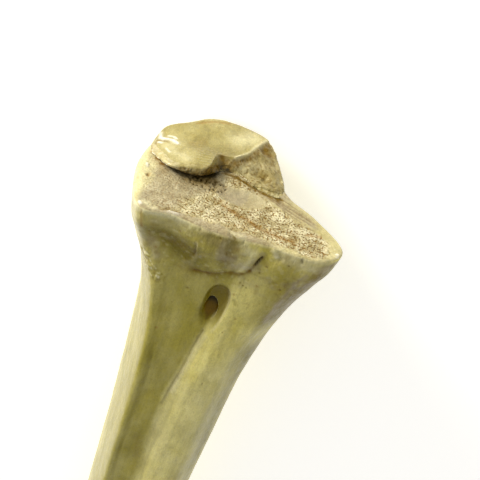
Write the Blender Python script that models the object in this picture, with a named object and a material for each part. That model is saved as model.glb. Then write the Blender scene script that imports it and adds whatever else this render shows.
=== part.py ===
# Giraffe forearm bone (left radius with the ulna fused behind it), elbow end towards +X,
# lying on its inner side. Driving sizes are in millimetres and the meshes are in metres.
# a runs down the bone from the worn elbow end, w towards the back edge and h towards the
# outer side.
import bpy
import numpy as np

# Driving sizes
shaftEnd = 548.0          # growth plate of the wrist end
boneEnd = 590.0           # middle of the wrist joint surface
sutureGap = 0.3           # clearance between neighbouring pieces of bone
restLevel = -57.0         # h of the inner side that lies on the floor
elbowRim = 1.4            # rounded edge of the worn elbow face
plateRim = 0.8            # edges beside the growth plate
wristRim = 2.5            # rounded edge of the wrist joint surface
elbowCentre = (-3.0, -14.0)
wristCentre = (-5.0, -19.0)
columns = 72              # points around the bone, six between landmarks
endRings = 9              # rings across an end face
boneColor = (0.62, 0.56, 0.30, 1.0)
facetColor = (0.66, 0.58, 0.33, 1.0)
boneRoughness = 0.5
facetRoughness = 0.3

# Cross sections. Each row is a station down the bone, then twelve landmarks (w, h) in order:
# front edge, front outer edge, outer face in three, back outer edge, back edge, under the
# flare, notch behind, inner side in two, front inner edge.
sections = (
    (0, (-47.2, -14.5), (-38.1, 15.5), (-21, 14.5), (-2, 13.5), (17, 11.5), (37.5, 9.5),
     (46, -2.5), (33, -16.5), (16.5, -27), (7, -49), (-14, -60), (-40.3, -38.5)),
    (9, (-45.4, -13.5), (-37.4, 14.5), (-20, 13), (-1, 14), (16, 11.5), (37, 9.5),
     (45, -4), (33, -17.5), (16.5, -28), (7, -49), (-14, -59.5), (-39, -39)),
    (20, (-43.7, -12), (-33.7, 11.5), (-18, 10.5), (0, 12), (16, 10), (33.5, 8),
     (42, -5), (31, -19), (16, -30), (5, -48), (-13, -55), (-36.5, -40)),
    (40, (-38, -14), (-26.5, 9.5), (-15, 8), (1, 7), (14, 9), (27.5, 6),
     (36.8, -8), (28.5, -21), (15, -31), (4, -45), (-14, -51), (-34, -38)),
    (70, (-33.4, -16), (-22.6, 7.4), (-13, 6.3), (2, 5), (12, 7.4), (22.5, 4.2),
     (31.6, -10), (26.5, -23), (14, -33), (3, -44), (-14, -48), (-31, -36)),
    (110, (-32.3, -16), (-21, 6.9), (-13, 5.8), (-3, 4.5), (8, 6.7), (20, 3.6),
     (28.2, -12), (25, -25), (13, -36), (1, -44), (-14, -46), (-29, -35)),
    (170, (-31.8, -16), (-21.4, 6.2), (-14, 5.5), (-3, 4.4), (7, 6.4), (19, 3.2),
     (27.2, -13), (24, -27), (12, -38), (0, -44), (-14, -45), (-28, -34)),
    (300, (-33, -18), (-22.6, 3.6), (-14, 5.2), (-3, 4.5), (7, 5), (17, 1),
     (24, -14), (21, -28), (10, -38), (-3, -44), (-16, -44), (-28, -34)),
    (420, (-34, -19), (-26, 2), (-16, 8), (-3, 7), (9, 7), (19, 2),
     (25, -15), (22, -31), (10, -42), (-4, -48), (-18, -48), (-30, -37)),
    (490, (-36, -20), (-30, 6), (-18, 14), (-3, 14), (11, 11), (22, 4),
     (27, -16), (24, -36), (13, -49), (-2, -55), (-21, -55), (-34, -42)),
    (540, (-38, -20), (-33, 10), (-18, 19), (-1, 20), (14, 16), (25, 6),
     (28, -17), (26, -40), (15, -54), (-1, -60), (-24, -60), (-37, -44)),
    (590, (-35, -20), (-31, 9), (-17, 18), (-1, 20), (13, 17), (23, 7),
     (26, -16), (24, -38), (14, -53), (-1, -59), (-23, -59), (-34.5, -43)),
)

# Trace of the seam between radius and ulna on the outer face (station, w), and its way
# out at the back (station, w, h).
seamOuter = (
    (-30, 19), (2, 17), (10, 14.5), (16, 13), (21, 9), (28, 5), (64, 3.2), (75, 1.6),
    (98, -1.5), (123, -4.3), (200, -2.5), (260, 1), (320, 6), (380, 14), (430, 26),
)
seamBack = (
    (-30, 22, -26), (40, 25, -24), (110, 27, -20), (200, 24, -19),
    (300, 23, -17), (380, 24, -13), (430, 30, -8),
)

# Swellings and hollows of the outer face: place (a, w), half sizes and height
swellings = (
    ((8, -6), (8, 11), 1.6),          # tubercle below the rim
    ((16, -25), (11, 7), -1.8),       # hollow in front of it
    ((21, 9), (6, 8), -1.0),          # crease down to the vessel opening
    ((46, 4), (15, 5.5), -2.3),       # hollow round the vessel opening
)

# Vessel opening: path (a, w, h), then half sizes along and across the cut
vesselPath = (
    (90, 2.6, 24, 2.8, 3.2), (72, 2.6, 14.4, 2.8, 3.2), (60, 2.6, 8.5, 2.8, 3.2),
    (51, 3.0, 5.2, 2.8, 3.3), (45, 3.1, 3.0, 2.8, 3.3), (39, 3.0, 0.6, 2.7, 3.2),
    (33, 3.2, -2.4, 2.6, 3.0), (26, 3.6, -7, 2.3, 2.7), (19, 3.9, -12.5, 2.0, 2.3),
)
vesselSides = 20

# Worn remnant of the elbow joint: seventeen landmarks (w, h) round its foot on the end face,
# round the lower edge of its overhanging lip and round its crown, all starting in front and
# going over the outer side.
footMarks = (
    (-44, -29), (-43.8, -23.2), (-37.8, -19), (-33, -17.5), (-28, -18.5), (-22, -20.5),
    (-17, -24), (-13.4, -26.6), (-5.1, -26.4), (5, -22.4), (15.6, -23.6), (9.6, -42.3),
    (0, -49.5), (-13.5, -52), (-26, -46.3), (-35, -40), (-42, -36),
)
lipMarks = (
    (-44.6, -29), (-44.5, -22.6), (-38, -17.6), (-32.9, -14.2), (-27, -13.3), (-20.6, -15.3),
    (-15.6, -20.3), (-12.4, -25.2), (-5.1, -26.4), (5, -22.4), (15.7, -23.6), (9.7, -42.2),
    (0, -49.5), (-13.5, -52), (-26, -47.4), (-36, -41), (-43, -36.5),
)
crownMarks = (
    (-45.6, -30), (-44.8, -22.8), (-39.6, -16.2), (-33.6, -11.5), (-27, -12.4), (-21, -14.9),
    (-18.6, -20.6), (-16.6, -27.2), (-5, -27.4), (5, -23.4), (14.9, -25.8), (8, -41.3),
    (-0.4, -50), (-14, -52.4), (-26.2, -50.3), (-36.6, -42), (-43.6, -37.6),
)
facetBorder = (
    (-18, -28.5), (-16.5, -29), (-9.7, -30.5), (-5.5, -35.2), (-1, -45.1), (0.7, -48.7), (3, -56),
)
blockFoot = ((-12.4, -25), (-5.1, -26.4), (5, -22.4), (15.8, -23.2))
lipDroop = ((-45, 6), (-42, 4.9), (-38, 3.2), (-33, 2.1), (-28, 1), (-24, 0.4), (-20, 0))
saucer = ((-17, -33), (13, 10), 2.3)  # hollow of the joint facet: middle, half sizes and depth
lipGap = 1.5              # open gap under the lip
remnantCentre = (-16.0, -36.0)
remnantColumns = 4        # points between its landmarks
footRings = 5
crownRings = 9


def clear_scene():
    for thing in list(bpy.data.objects):
        bpy.data.objects.remove(thing, do_unlink=True)
    for group in list(bpy.data.collections):
        bpy.data.collections.remove(group)


def curve(x, xs, ys):
    """Smooth curve through the knots that never swings past them."""
    xs = np.asarray(xs, float)
    ys = np.asarray(ys, float)
    x = np.clip(x, xs[0], xs[-1])
    step = np.diff(xs)
    slope = np.diff(ys) / step
    tangent = np.zeros_like(ys)
    same = slope[:-1] * slope[1:] > 0
    first = 2 * step[1:] + step[:-1]
    second = step[1:] + 2 * step[:-1]
    safe = np.where(same, slope[:-1], 1.0)
    other = np.where(same, slope[1:], 1.0)
    tangent[1:-1] = np.where(same, (first + second) / (first / safe + second / other), 0.0)
    tangent[0] = slope[0]
    tangent[-1] = slope[-1]
    k = np.clip(np.searchsorted(xs, x, side="right") - 1, 0, len(xs) - 2)
    t = (x - xs[k]) / step[k]
    return (
        ys[k] * (1 + 2 * t) * (1 - t) ** 2
        + tangent[k] * step[k] * t * (1 - t) ** 2
        + ys[k + 1] * t * t * (3 - 2 * t)
        + tangent[k + 1] * step[k] * t * t * (t - 1)
    )


def along(knots, x, column=1):
    """Value of one column of a table of knots at x."""
    return curve(x, [row[0] for row in knots], [row[column] for row in knots])


def closed_spline(points, count):
    """Rounded closed curve through the landmarks, with count points."""
    points = np.asarray(points, float)
    number = len(points)
    u = np.arange(count) * number / count
    k = np.floor(u).astype(int)
    t = (u - k)[:, None]
    p0 = points[(k - 1) % number]
    p1 = points[k % number]
    p2 = points[(k + 1) % number]
    p3 = points[(k + 2) % number]
    square = (2 * p0 - 5 * p1 + 4 * p2 - p3) * t**2
    cube = (3 * p1 - p0 - 3 * p2 + p3) * t**3
    return 0.5 * (2 * p1 + (p2 - p0) * t + square + cube)


def outline(a):
    """Outline (w, h) of the whole bone at station a."""
    stations = [row[0] for row in sections]
    marks = np.array([row[1:] for row in sections], float)
    points = np.empty((12, 2))
    for i in range(12):
        points[i, 0] = curve(a, stations, marks[:, i, 0])
        points[i, 1] = curve(a, stations, marks[:, i, 1])
    return closed_spline(points, columns)


def hill(x, y, centre, size, height):
    """Rounded swelling on one face, or a hollow where height is negative."""
    return height * np.exp(-(((x - centre[0]) / size[0]) ** 2) - ((y - centre[1]) / size[1]) ** 2)


def smooth_step(x, low, high):
    t = np.clip((x - low) / (high - low), 0, 1)
    return t * t * (3 - 2 * t)


def relief(a, w, h):
    """Swellings and grooves of the surface, as a shift in w and h."""
    outer = smooth_step(h, -12, 0)
    lift = 0.0
    for centre, size, height in swellings:
        lift = lift + hill(a, w, centre, size, height)
    seamPart = smooth_step(a, 60, 90) * (1 - smooth_step(a, 330, 420))
    lift = lift - seamPart * np.exp(-(((w - along(seamOuter, a)) / 3.5) ** 2))
    wrist = smooth_step(a, 470, 545)
    tendonGrooves = 2.6 * np.cos((h + 19) / 25 * 2 * np.pi) * np.exp(-(((h + 19) / 34) ** 4))
    shiftW = smooth_step(-w, 18, 30) * wrist * tendonGrooves
    shiftW = shiftW - smooth_step(w, 12, 22) * wrist * 3.0 * np.exp(-(((h + 20) / 16) ** 2))
    return shiftW, outer * lift


def elbow_face(w, h):
    """Worn elbow end: a shallow dish with an oval hollow in it, dropping to the inner side."""
    dish = hill(w, h, (-4, -6), (26, 14), 1.5) + hill(w, h, (-3.5, -12.5), (10.5, 5), 0.8)
    return dish - 1.2 * smooth_step(-h, 14, 30)


def plate_face(w, h):
    """Growth plate of the wrist end: low waves with four pegs."""
    pegs = 3.0 * np.cos((w + 5) / 30 * np.pi) * np.cos((h + 19) / 38 * np.pi)
    return pegs + 1.2 * np.sin(w / 11) * np.sin(h / 13)


def upper_plate(w, h):
    return plate_face(w, h) + sutureGap


def wrist_face(w, h):
    """Wrist joint surface: three hollow facets with slanting ridges and a lip in front."""
    across = (h + 19) / 38
    facets = 2.6 * np.cos(3 * np.pi * across + 0.5 * w / 20)
    roll = 5.5 * np.sin((w + 6) / 34 * np.pi)
    styloid = 6.0 * smooth_step(np.abs(across), 0.55, 1.0) * np.exp(-(((w + 2) / 24) ** 2))
    return facets - roll + styloid


def shut_ring_body(rings, centreFirst, centreLast):
    """Closed body from rings of equal length, with a point at each end."""
    count = len(rings[0])
    points = np.concatenate([np.concatenate(rings), [centreFirst], [centreLast]])
    faces = []
    for k in range(len(rings) - 1):
        near = k * count
        far = near + count
        for j in range(count):
            n = (j + 1) % count
            faces.append((near + j, near + n, far + n, far + j))
    first = len(points) - 2
    last = len(points) - 1
    base = (len(rings) - 1) * count
    for j in range(count):
        n = (j + 1) % count
        faces.append((first, n, j))
        faces.append((last, base + j, base + n))
    return points, faces


def drawn_in(points, centre, inset):
    """Points moved towards the centre by the inset."""
    away = points - centre
    reach = np.linalg.norm(away, axis=1)[:, None]
    return centre + away * (1 - inset / reach)


def loft(stations, startFace, endFace, startRim, endRim, startCentre, endCentre):
    """Part of the bone between two end faces, with rounded rims."""
    low = stations[0]
    high = stations[-1]
    startCentre = np.array(startCentre)
    endCentre = np.array(endCentre)
    rimTurns = (0.35, 0.7)
    rings = []

    def edge(a, inset, centre):
        points = outline(a)
        shiftW, shiftH = relief(a, points[:, 0], points[:, 1])
        points = points + np.stack([shiftW, shiftH], axis=1)
        points[:, 1] = np.maximum(points[:, 1], restLevel)
        return drawn_in(points, centre, inset)

    def add(points, base, face):
        rings.append(np.column_stack([base + face(points[:, 0], points[:, 1]), points]))

    rim = edge(low, startRim, startCentre)
    for k in range(1, endRings + 1):
        add(startCentre + (rim - startCentre) * (k / endRings), low, startFace)
    for turn in rimTurns:
        angle = turn * np.pi / 2
        points = edge(low, startRim * (1 - np.sin(angle)), startCentre)
        add(points, low + startRim * (1 - np.cos(angle)), startFace)
    fade = 3 * (stations[1] - stations[0])
    for a in stations[1:-1]:
        fromStart = np.clip((a - low) / fade, 0, 1)
        fromEnd = np.clip((high - a) / fade, 0, 1)
        points = edge(a, 0, startCentre if a - low < high - a else endCentre)
        bend = startFace(points[:, 0], points[:, 1]) * (1 - fromStart)
        bend = bend + endFace(points[:, 0], points[:, 1]) * (1 - fromEnd)
        rings.append(np.column_stack([a + bend, points]))
    for turn in rimTurns[::-1]:
        angle = turn * np.pi / 2
        points = edge(high, endRim * (1 - np.sin(angle)), endCentre)
        add(points, high - endRim * (1 - np.cos(angle)), endFace)
    rim = edge(high, endRim, endCentre)
    for k in range(endRings, 0, -1):
        add(endCentre + (rim - endCentre) * (k / endRings), high, endFace)
    first = np.array([low + startFace(*startCentre), *startCentre])
    last = np.array([high + endFace(*endCentre), *endCentre])
    return shut_ring_body(rings, first, last)


def make_object(name, points, faces, group):
    """Mesh object in metres. The bone axis becomes -X, w becomes -Y and h becomes +Z."""
    mesh = bpy.data.meshes.new(name)
    placed = np.column_stack([-points[:, 0], -points[:, 1], points[:, 2]]) / 1000
    mesh.from_pydata(placed.tolist(), [], faces)
    mesh.update()
    thing = bpy.data.objects.new(name, mesh)
    group.objects.link(thing)
    if signed_volume(mesh) < 0:
        mesh.flip_normals()
        mesh.update()
    return thing


def signed_volume(mesh):
    mesh.calc_loop_triangles()
    points = np.empty(len(mesh.vertices) * 3)
    mesh.vertices.foreach_get("co", points)
    corners = np.empty(len(mesh.loop_triangles) * 3, np.int32)
    mesh.loop_triangles.foreach_get("vertices", corners)
    return np.linalg.det(points.reshape(-1, 3)[corners.reshape(-1, 3)]).sum()


def apply_boolean(thing, cutter, operation):
    modifier = thing.modifiers.new("cut", "BOOLEAN")
    modifier.operation = operation
    modifier.object = cutter
    modifier.solver = "EXACT"
    graph = bpy.context.evaluated_depsgraph_get()
    result = bpy.data.meshes.new_from_object(thing.evaluated_get(graph))
    thing.modifiers.clear()
    old = thing.data
    thing.data = result
    bpy.data.meshes.remove(old)


def vessel_tube():
    """Closed body along the path of the vessel opening."""
    path = np.array(vesselPath)
    angle = np.arange(vesselSides) * 2 * np.pi / vesselSides
    rings = []
    for k, (a, w, h, long, wide) in enumerate(path):
        way = path[min(k + 1, len(path) - 1), :3] - path[max(k - 1, 0), :3]
        way = way / np.linalg.norm(way)
        side = np.array([0.0, 1.0, 0.0]) - way * way[1]
        side = side / np.linalg.norm(side)
        up = np.cross(way, side)
        across = np.outer(np.cos(angle), side) * wide
        rings.append(np.array([a, w, h]) + across + np.outer(np.sin(angle), up) * long)
    return shut_ring_body(rings, path[0, :3], path[-1, :3])


def ulna_region(group, name, margin):
    """Space behind the seam. Margin moves its inner wall forwards."""
    wallSteps = np.array([0.0, 0.15, 0.3, 0.45, 0.6, 0.75, 0.9, 1.0])[:, None]
    outside = 90.0            # past the back edge of the bone
    above = 45.0              # past the outer face
    rings = []
    for a in np.concatenate([np.arange(-30, 130, 8), np.arange(130, 431, 20)]):
        outerW = along(seamOuter, a) - margin
        backW = along(seamBack, a, 1)
        backH = along(seamBack, a, 2)
        start = np.array([outerW, 8.0])
        corner = np.array([outerW + 2.0, backH * 0.72 - margin])
        finish = np.array([backW, backH - margin])
        t = wallSteps
        wall = start * (1 - t) ** 2 + 2 * corner * t * (1 - t) + finish * t * t
        ring = np.vstack([(outerW - 2.0, above), wall, (outside, finish[1] - 8.0), (outside, above)])
        rings.append(np.column_stack([np.full(len(ring), a), ring]))
    points, faces = shut_ring_body(rings, rings[0].mean(axis=0), rings[-1].mean(axis=0))
    return make_object(name, points, faces, group)


def near_line(x, y, knots):
    """Distance to a broken line."""
    best = np.full(np.shape(x), 1e9)
    for (x0, y0), (x1, y1) in zip(knots, knots[1:]):
        dx = x1 - x0
        dy = y1 - y0
        t = np.clip(((x - x0) * dx + (y - y0) * dy) / (dx * dx + dy * dy), 0, 1)
        best = np.minimum(best, np.hypot(x - x0 - t * dx, y - y0 - t * dy))
    return best


def crown_face(w, h):
    """Hollow joint facet in front, drooping at its lip, and broken bone sloping down behind."""
    facet = -6.2 - 0.086 * (-h - 10) + hill(w, h, *saucer)
    facet = facet + along(lipDroop, w) * (1 - 0.4 * smooth_step(-h, 30, 42))
    beyond = near_line(w, h, facetBorder) * np.sign(h - along(facetBorder, w))
    beyond = np.maximum(beyond, 0)
    toFoot = np.maximum(along(blockFoot, w) - h, 0.3)
    share = beyond / (beyond + toFoot) * smooth_step(w, -18, -15.5)
    return facet * (1 - share) - 0.8 * share


def sole(points):
    return elbow_face(points[:, 0], points[:, 1]) - sutureGap


def elbow_remnant(group):
    count = len(crownMarks) * remnantColumns
    foot = closed_spline(footMarks, count)
    lip = closed_spline(lipMarks, count)
    crown = closed_spline(crownMarks, count)
    centre = np.array(remnantCentre)
    rings = []
    for k in range(1, footRings + 1):
        points = centre + (foot - centre) * (k / footRings)
        rings.append(np.column_stack([sole(points), points]))
    overhang = smooth_step(lip[:, 1], -27, -19) * smooth_step(-lip[:, 0], 10.5, 14)
    low = sole(lip) - lipGap * smooth_step(lip[:, 0], -40, -31) * overhang
    rings.append(np.column_stack([low, lip]))
    top = crown_face(crown[:, 0], crown[:, 1]) + 0.5
    for part in (0.35, 0.7, 1.0):
        points = lip * (1 - part) + crown * part
        rings.append(np.column_stack([low * (1 - part) + top * part, points]))
    rim = drawn_in(crown, centre, 1.0)
    for k in range(crownRings, 0, -1):
        points = centre + (rim - centre) * (k / crownRings)
        rings.append(np.column_stack([crown_face(points[:, 0], points[:, 1]), points]))
    first = np.array([elbow_face(*centre) - sutureGap, *centre])
    last = np.array([crown_face(*centre), *centre])
    points, faces = shut_ring_body(rings, first, last)
    return make_object("proximal_epiphysis", points, faces, group)


def paint(thing, name, color, roughness):
    material = bpy.data.materials.new(name)
    material.use_nodes = True
    shader = material.node_tree.nodes["Principled BSDF"]
    shader.inputs["Base Color"].default_value = color
    shader.inputs["Roughness"].default_value = roughness
    thing.data.materials.clear()
    thing.data.materials.append(material)


def move_to_origin(bones, cutters):
    """Puts the middle of the whole bone over the origin and its lowest side on the floor."""
    corners = np.array([vertex.co for thing in bones.objects for vertex in thing.data.vertices])
    low = corners.min(axis=0)
    high = corners.max(axis=0)
    shift = np.array([-(low[0] + high[0]) / 2, -(low[1] + high[1]) / 2, -low[2]])
    print("size in mm", np.round((high - low) * 1000, 1), "shift in mm", np.round(shift * 1000, 3))
    for thing in [*bones.objects, *cutters.objects]:
        for vertex in thing.data.vertices:
            vertex.co.x += shift[0]
            vertex.co.y += shift[1]
            vertex.co.z += shift[2]
        thing.data.update()


def main():
    clear_scene()
    root = bpy.context.scene.collection
    bones = bpy.data.collections.new("giraffe_leg_bone")
    cutters = bpy.data.collections.new("cutters")
    root.children.link(bones)
    root.children.link(cutters)
    cutters.hide_render = True

    stations = np.concatenate([
        [0, 5, 9, 14, 20, 26, 33, 40, 47, 54, 62, 70, 80],
        np.arange(92, 170, 14),
        np.arange(178, 440, 24),
        np.arange(446, 540, 12),
        [541, shaftEnd],
    ])
    whole = loft(stations, elbow_face, plate_face, elbowRim, plateRim, elbowCentre, wristCentre)
    radius = make_object("radius", *whole, bones)
    ulna = make_object("ulna", *whole, bones)
    vessel = make_object("vessel_cutter", *vessel_tube(), cutters)
    keep = ulna_region(cutters, "ulna_space", -sutureGap / 2)
    remove = ulna_region(cutters, "ulna_space_wide", sutureGap / 2)
    apply_boolean(ulna, keep, "INTERSECT")
    apply_boolean(ulna, vessel, "DIFFERENCE")
    apply_boolean(radius, remove, "DIFFERENCE")
    apply_boolean(radius, vessel, "DIFFERENCE")

    wristStations = np.array([shaftEnd, 553, 559, 566, 573, 579, 584, boneEnd])
    end = loft(wristStations, upper_plate, wrist_face, plateRim, wristRim, wristCentre, wristCentre)
    wrist = make_object("distal_epiphysis", *end, bones)
    remnant = elbow_remnant(bones)

    for cutter in cutters.objects:
        cutter.hide_render = True
        cutter.display_type = "WIRE"
    move_to_origin(bones, cutters)

    paint(radius, "bone", boneColor, boneRoughness)
    paint(ulna, "bone_ulna", boneColor, boneRoughness)
    paint(wrist, "bone_wrist", boneColor, boneRoughness)
    paint(remnant, "joint_surface", facetColor, facetRoughness)


main()
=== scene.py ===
import math
import time
import bpy
import numpy as np
from mathutils import Matrix, Vector


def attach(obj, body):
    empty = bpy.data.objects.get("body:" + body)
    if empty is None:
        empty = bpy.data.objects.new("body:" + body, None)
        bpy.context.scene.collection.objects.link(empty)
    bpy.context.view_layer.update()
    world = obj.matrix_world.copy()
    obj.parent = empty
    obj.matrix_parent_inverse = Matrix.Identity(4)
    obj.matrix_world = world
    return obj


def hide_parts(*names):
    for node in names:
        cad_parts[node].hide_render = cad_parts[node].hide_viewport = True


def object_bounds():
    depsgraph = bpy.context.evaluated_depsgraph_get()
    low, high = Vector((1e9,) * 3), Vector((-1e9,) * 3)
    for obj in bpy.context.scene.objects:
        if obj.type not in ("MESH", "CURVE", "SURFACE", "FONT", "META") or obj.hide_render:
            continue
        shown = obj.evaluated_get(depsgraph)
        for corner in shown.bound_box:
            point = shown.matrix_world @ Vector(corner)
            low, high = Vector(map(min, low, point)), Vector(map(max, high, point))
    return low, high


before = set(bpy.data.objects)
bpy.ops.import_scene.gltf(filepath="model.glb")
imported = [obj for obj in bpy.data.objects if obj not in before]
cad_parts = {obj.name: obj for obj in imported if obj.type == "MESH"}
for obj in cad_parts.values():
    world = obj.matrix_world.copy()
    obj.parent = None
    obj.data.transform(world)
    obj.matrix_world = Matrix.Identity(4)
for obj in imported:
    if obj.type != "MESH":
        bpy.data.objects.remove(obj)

cadBox = [list(corner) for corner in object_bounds()]
startTime = time.time()


def say(text):
    print(f"[{time.time() - startTime:5.1f} s] {text}")


# Where the worn elbow face of the solids sits, in metres, and the level that rests on the floor, in mm
place = {"elbowX": 0.294784, "midY": -0.000599, "restLevel": -57.0}

# Cross sections of the bone in mm: station from the elbow face, then twelve landmarks (w, h) from the
# front edge over the outer face to the back edge and round the inner side
sectionRows = (
    (0, (-47.2, -14.5), (-38.1, 15.5), (-21, 14.5), (-2, 13.5), (17, 11.5), (37.5, 9.5),
     (46, -2.5), (33, -16.5), (16.5, -27), (7, -49), (-14, -60), (-40.3, -38.5)),
    (9, (-45.4, -13.5), (-37.4, 14.5), (-20, 13), (-1, 14), (16, 11.5), (37, 9.5),
     (45, -4), (33, -17.5), (16.5, -28), (7, -49), (-14, -59.5), (-39, -39)),
    (20, (-43.7, -12), (-33.7, 11.5), (-18, 10.5), (0, 12), (16, 10), (33.5, 8),
     (42, -5), (31, -19), (16, -30), (5, -48), (-13, -55), (-36.5, -40)),
    (40, (-38, -14), (-26.5, 9.5), (-15, 8), (1, 7), (14, 9), (27.5, 6),
     (36.8, -8), (28.5, -21), (15, -31), (4, -45), (-14, -51), (-34, -38)),
    (70, (-33.4, -16), (-22.6, 7.4), (-13, 6.3), (2, 5), (12, 7.4), (22.5, 4.2),
     (31.6, -10), (26.5, -23), (14, -33), (3, -44), (-14, -48), (-31, -36)),
    (110, (-32.3, -16), (-21, 6.9), (-13, 5.8), (-3, 4.5), (8, 6.7), (20, 3.6),
     (28.2, -12), (25, -25), (13, -36), (1, -44), (-14, -46), (-29, -35)),
    (170, (-31.8, -16), (-21.4, 6.2), (-14, 5.5), (-3, 4.4), (7, 6.4), (19, 3.2),
     (27.2, -13), (24, -27), (12, -38), (0, -44), (-14, -45), (-28, -34)),
    (300, (-33, -18), (-22.6, 3.6), (-14, 5.2), (-3, 4.5), (7, 5), (17, 1),
     (24, -14), (21, -28), (10, -38), (-3, -44), (-16, -44), (-28, -34)),
    (420, (-34, -19), (-26, 2), (-16, 8), (-3, 7), (9, 7), (19, 2),
     (25, -15), (22, -31), (10, -42), (-4, -48), (-18, -48), (-30, -37)),
    (490, (-36, -20), (-30, 6), (-18, 14), (-3, 14), (11, 11), (22, 4),
     (27, -16), (24, -36), (13, -49), (-2, -55), (-21, -55), (-34, -42)),
    (540, (-38, -20), (-33, 10), (-18, 19), (-1, 20), (14, 16), (25, 6),
     (28, -17), (26, -40), (15, -54), (-1, -60), (-24, -60), (-37, -44)),
    (590, (-35, -20), (-31, 9), (-17, 18), (-1, 20), (13, 17), (23, 7),
     (26, -16), (24, -38), (14, -53), (-1, -59), (-23, -59), (-34.5, -43)),
)
# Trace of the seam between radius and ulna: (station, w) on the outer face, (station, w, h) at the back
seamOuter = (
    (-30, 19), (2, 17), (10, 14.5), (16, 13), (21, 9), (28, 5), (64, 3.2), (75, 1.6),
    (98, -1.5), (123, -4.3), (200, -2.5), (260, 1), (320, 6), (380, 14), (430, 26),
)
seamBack = (
    (-30, 22, -26), (40, 25, -24), (110, 27, -20), (200, 24, -19),
    (300, 23, -17), (380, 24, -13), (430, 30, -8),
)


def curve(x, xs, ys):  # smooth curve through knots that never swings past them
    xs, ys = np.asarray(xs, float), np.asarray(ys, float)
    x = np.clip(x, xs[0], xs[-1])
    step = np.diff(xs)
    slope = np.diff(ys) / step
    tangent = np.zeros_like(ys)
    same = slope[:-1] * slope[1:] > 0
    first, second = 2 * step[1:] + step[:-1], step[1:] + 2 * step[:-1]
    safe, other = np.where(same, slope[:-1], 1.0), np.where(same, slope[1:], 1.0)
    tangent[1:-1] = np.where(same, (first + second) / (first / safe + second / other), 0.0)
    tangent[0], tangent[-1] = slope[0], slope[-1]
    k = np.clip(np.searchsorted(xs, x, side="right") - 1, 0, len(xs) - 2)
    t = (x - xs[k]) / step[k]
    return (ys[k] * (1 + 2 * t) * (1 - t) ** 2 + tangent[k] * step[k] * t * (1 - t) ** 2
            + ys[k + 1] * t * t * (3 - 2 * t) + tangent[k + 1] * step[k] * t * t * (t - 1))


def alongTable(knots, x, column=1):
    return curve(x, [knot[0] for knot in knots], [knot[column] for knot in knots])


def closedSpline(points, steps):  # steps holds the number of points in each span
    points = np.asarray(points, float)
    number = len(points)
    u = np.concatenate([k + np.arange(steps[k]) / steps[k] for k in range(number)])
    k = np.floor(u).astype(int)
    t = (u - k)[:, None]
    p0, p1, p2, p3 = (points[(k + d) % number] for d in (-1, 0, 1, 2))
    square = (2 * p0 - 5 * p1 + 4 * p2 - p3) * t**2
    return 0.5 * (2 * p1 + (p2 - p0) * t + square + (3 * p1 - p0 - 3 * p2 + p3) * t**3)


sectionStations = [row[0] for row in sectionRows]
sectionMarks = np.array([row[1:] for row in sectionRows], float)


def outline(a, steps):
    marks = np.empty((12, 2))
    for i in range(12):
        marks[i] = [curve(a, sectionStations, sectionMarks[:, i, axis]) for axis in (0, 1)]
    return closedSpline(marks, steps)


def smoothStep(x, low, high):
    t = np.clip((x - low) / (high - low), 0, 1)
    return t * t * (3 - 2 * t)


def fallOff(x, low, high):  # 1 below low and 0 above high
    return 1 - smoothStep(x, low, high)


def bell(distance, width, power=2):
    return np.exp(-((distance / width) ** power))


def hill(x, y, centre, size, height=1.0):
    return height * np.exp(-(((x - centre[0]) / size[0]) ** 2) - ((y - centre[1]) / size[1]) ** 2)


def lineNear(x, y, knots):  # distance to a broken line, with the share of the way along it
    best = np.full(np.shape(x), 1e9)
    along = np.zeros(np.shape(x))
    total = max(len(knots) - 1, 1)
    for k in range(total):
        (x0, y0), (x1, y1) = knots[k], knots[min(k + 1, len(knots) - 1)]
        dx, dy = x1 - x0, y1 - y0
        t = np.clip(((x - x0) * dx + (y - y0) * dy) / max(dx * dx + dy * dy, 1e-9), 0, 1)
        away = np.hypot(x - x0 - t * dx, y - y0 - t * dy)
        nearer = away < best
        best = np.where(nearer, away, best)
        along = np.where(nearer, (k + t) / total, along)
    return best, along


def hashed(ix, iy, iz, seed):
    n = (ix * 374761393 + iy * 668265263 + iz * 2147483647 + seed * 144665) & 0xFFFFFFFF
    n = ((n ^ (n >> 13)) * 1274126177) & 0xFFFFFFFF
    return ((n ^ (n >> 16)) & 0xFFFF) / 32767.5 - 1.0


def softNoise(x, y, z, scale, seed):  # smooth noise from -1 to 1 with lumps of this size
    px, py, pz = (np.asarray(v, float) / scale + 97.3 for v in (x, y, z))
    ix, iy, iz = (np.floor(v).astype(np.int64) for v in (px, py, pz))
    fx, fy, fz = (v - i for v, i in ((px, ix), (py, iy), (pz, iz)))
    fx, fy, fz = (f * f * (3 - 2 * f) for f in (fx, fy, fz))
    total = 0.0
    for dx in (0, 1):
        for dy in (0, 1):
            for dz in (0, 1):
                weight = (fx if dx else 1 - fx) * (fy if dy else 1 - fy) * (fz if dz else 1 - fz)
                total = total + weight * hashed(ix + dx, iy + dy, iz + dz, seed)
    return total


def spots(x, y, z, scale, seed, low, high):  # uneven patches: 1 where the noise is above high, 0 below low
    return smoothStep(softNoise(x, y, z, scale, seed), low, high)


# A form is a ridge, dent or stain that follows a line, some of them painted shade and painted highlights:
# height in mm, half width in mm, the colours that it leaves with their strengths, and the line; one place
# alone is a round spot
def formHeight(forms, x, y):
    return sum(form[0] * bell(lineNear(x, y, form[3])[0], form[1]) for form in forms if form[0])


def formStain(forms, name, x, y, wobble):  # wobble, in mm, makes the edges of the stains uneven
    total = 0.0 * x
    for _, width, stains, line in forms:
        if name in stains:
            away = np.maximum(lineNear(x, y, line)[0] + wobble * min(width, 2.0) * 0.45, 0)
            total = total + stains[name] * bell(away, width)
    return total


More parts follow.
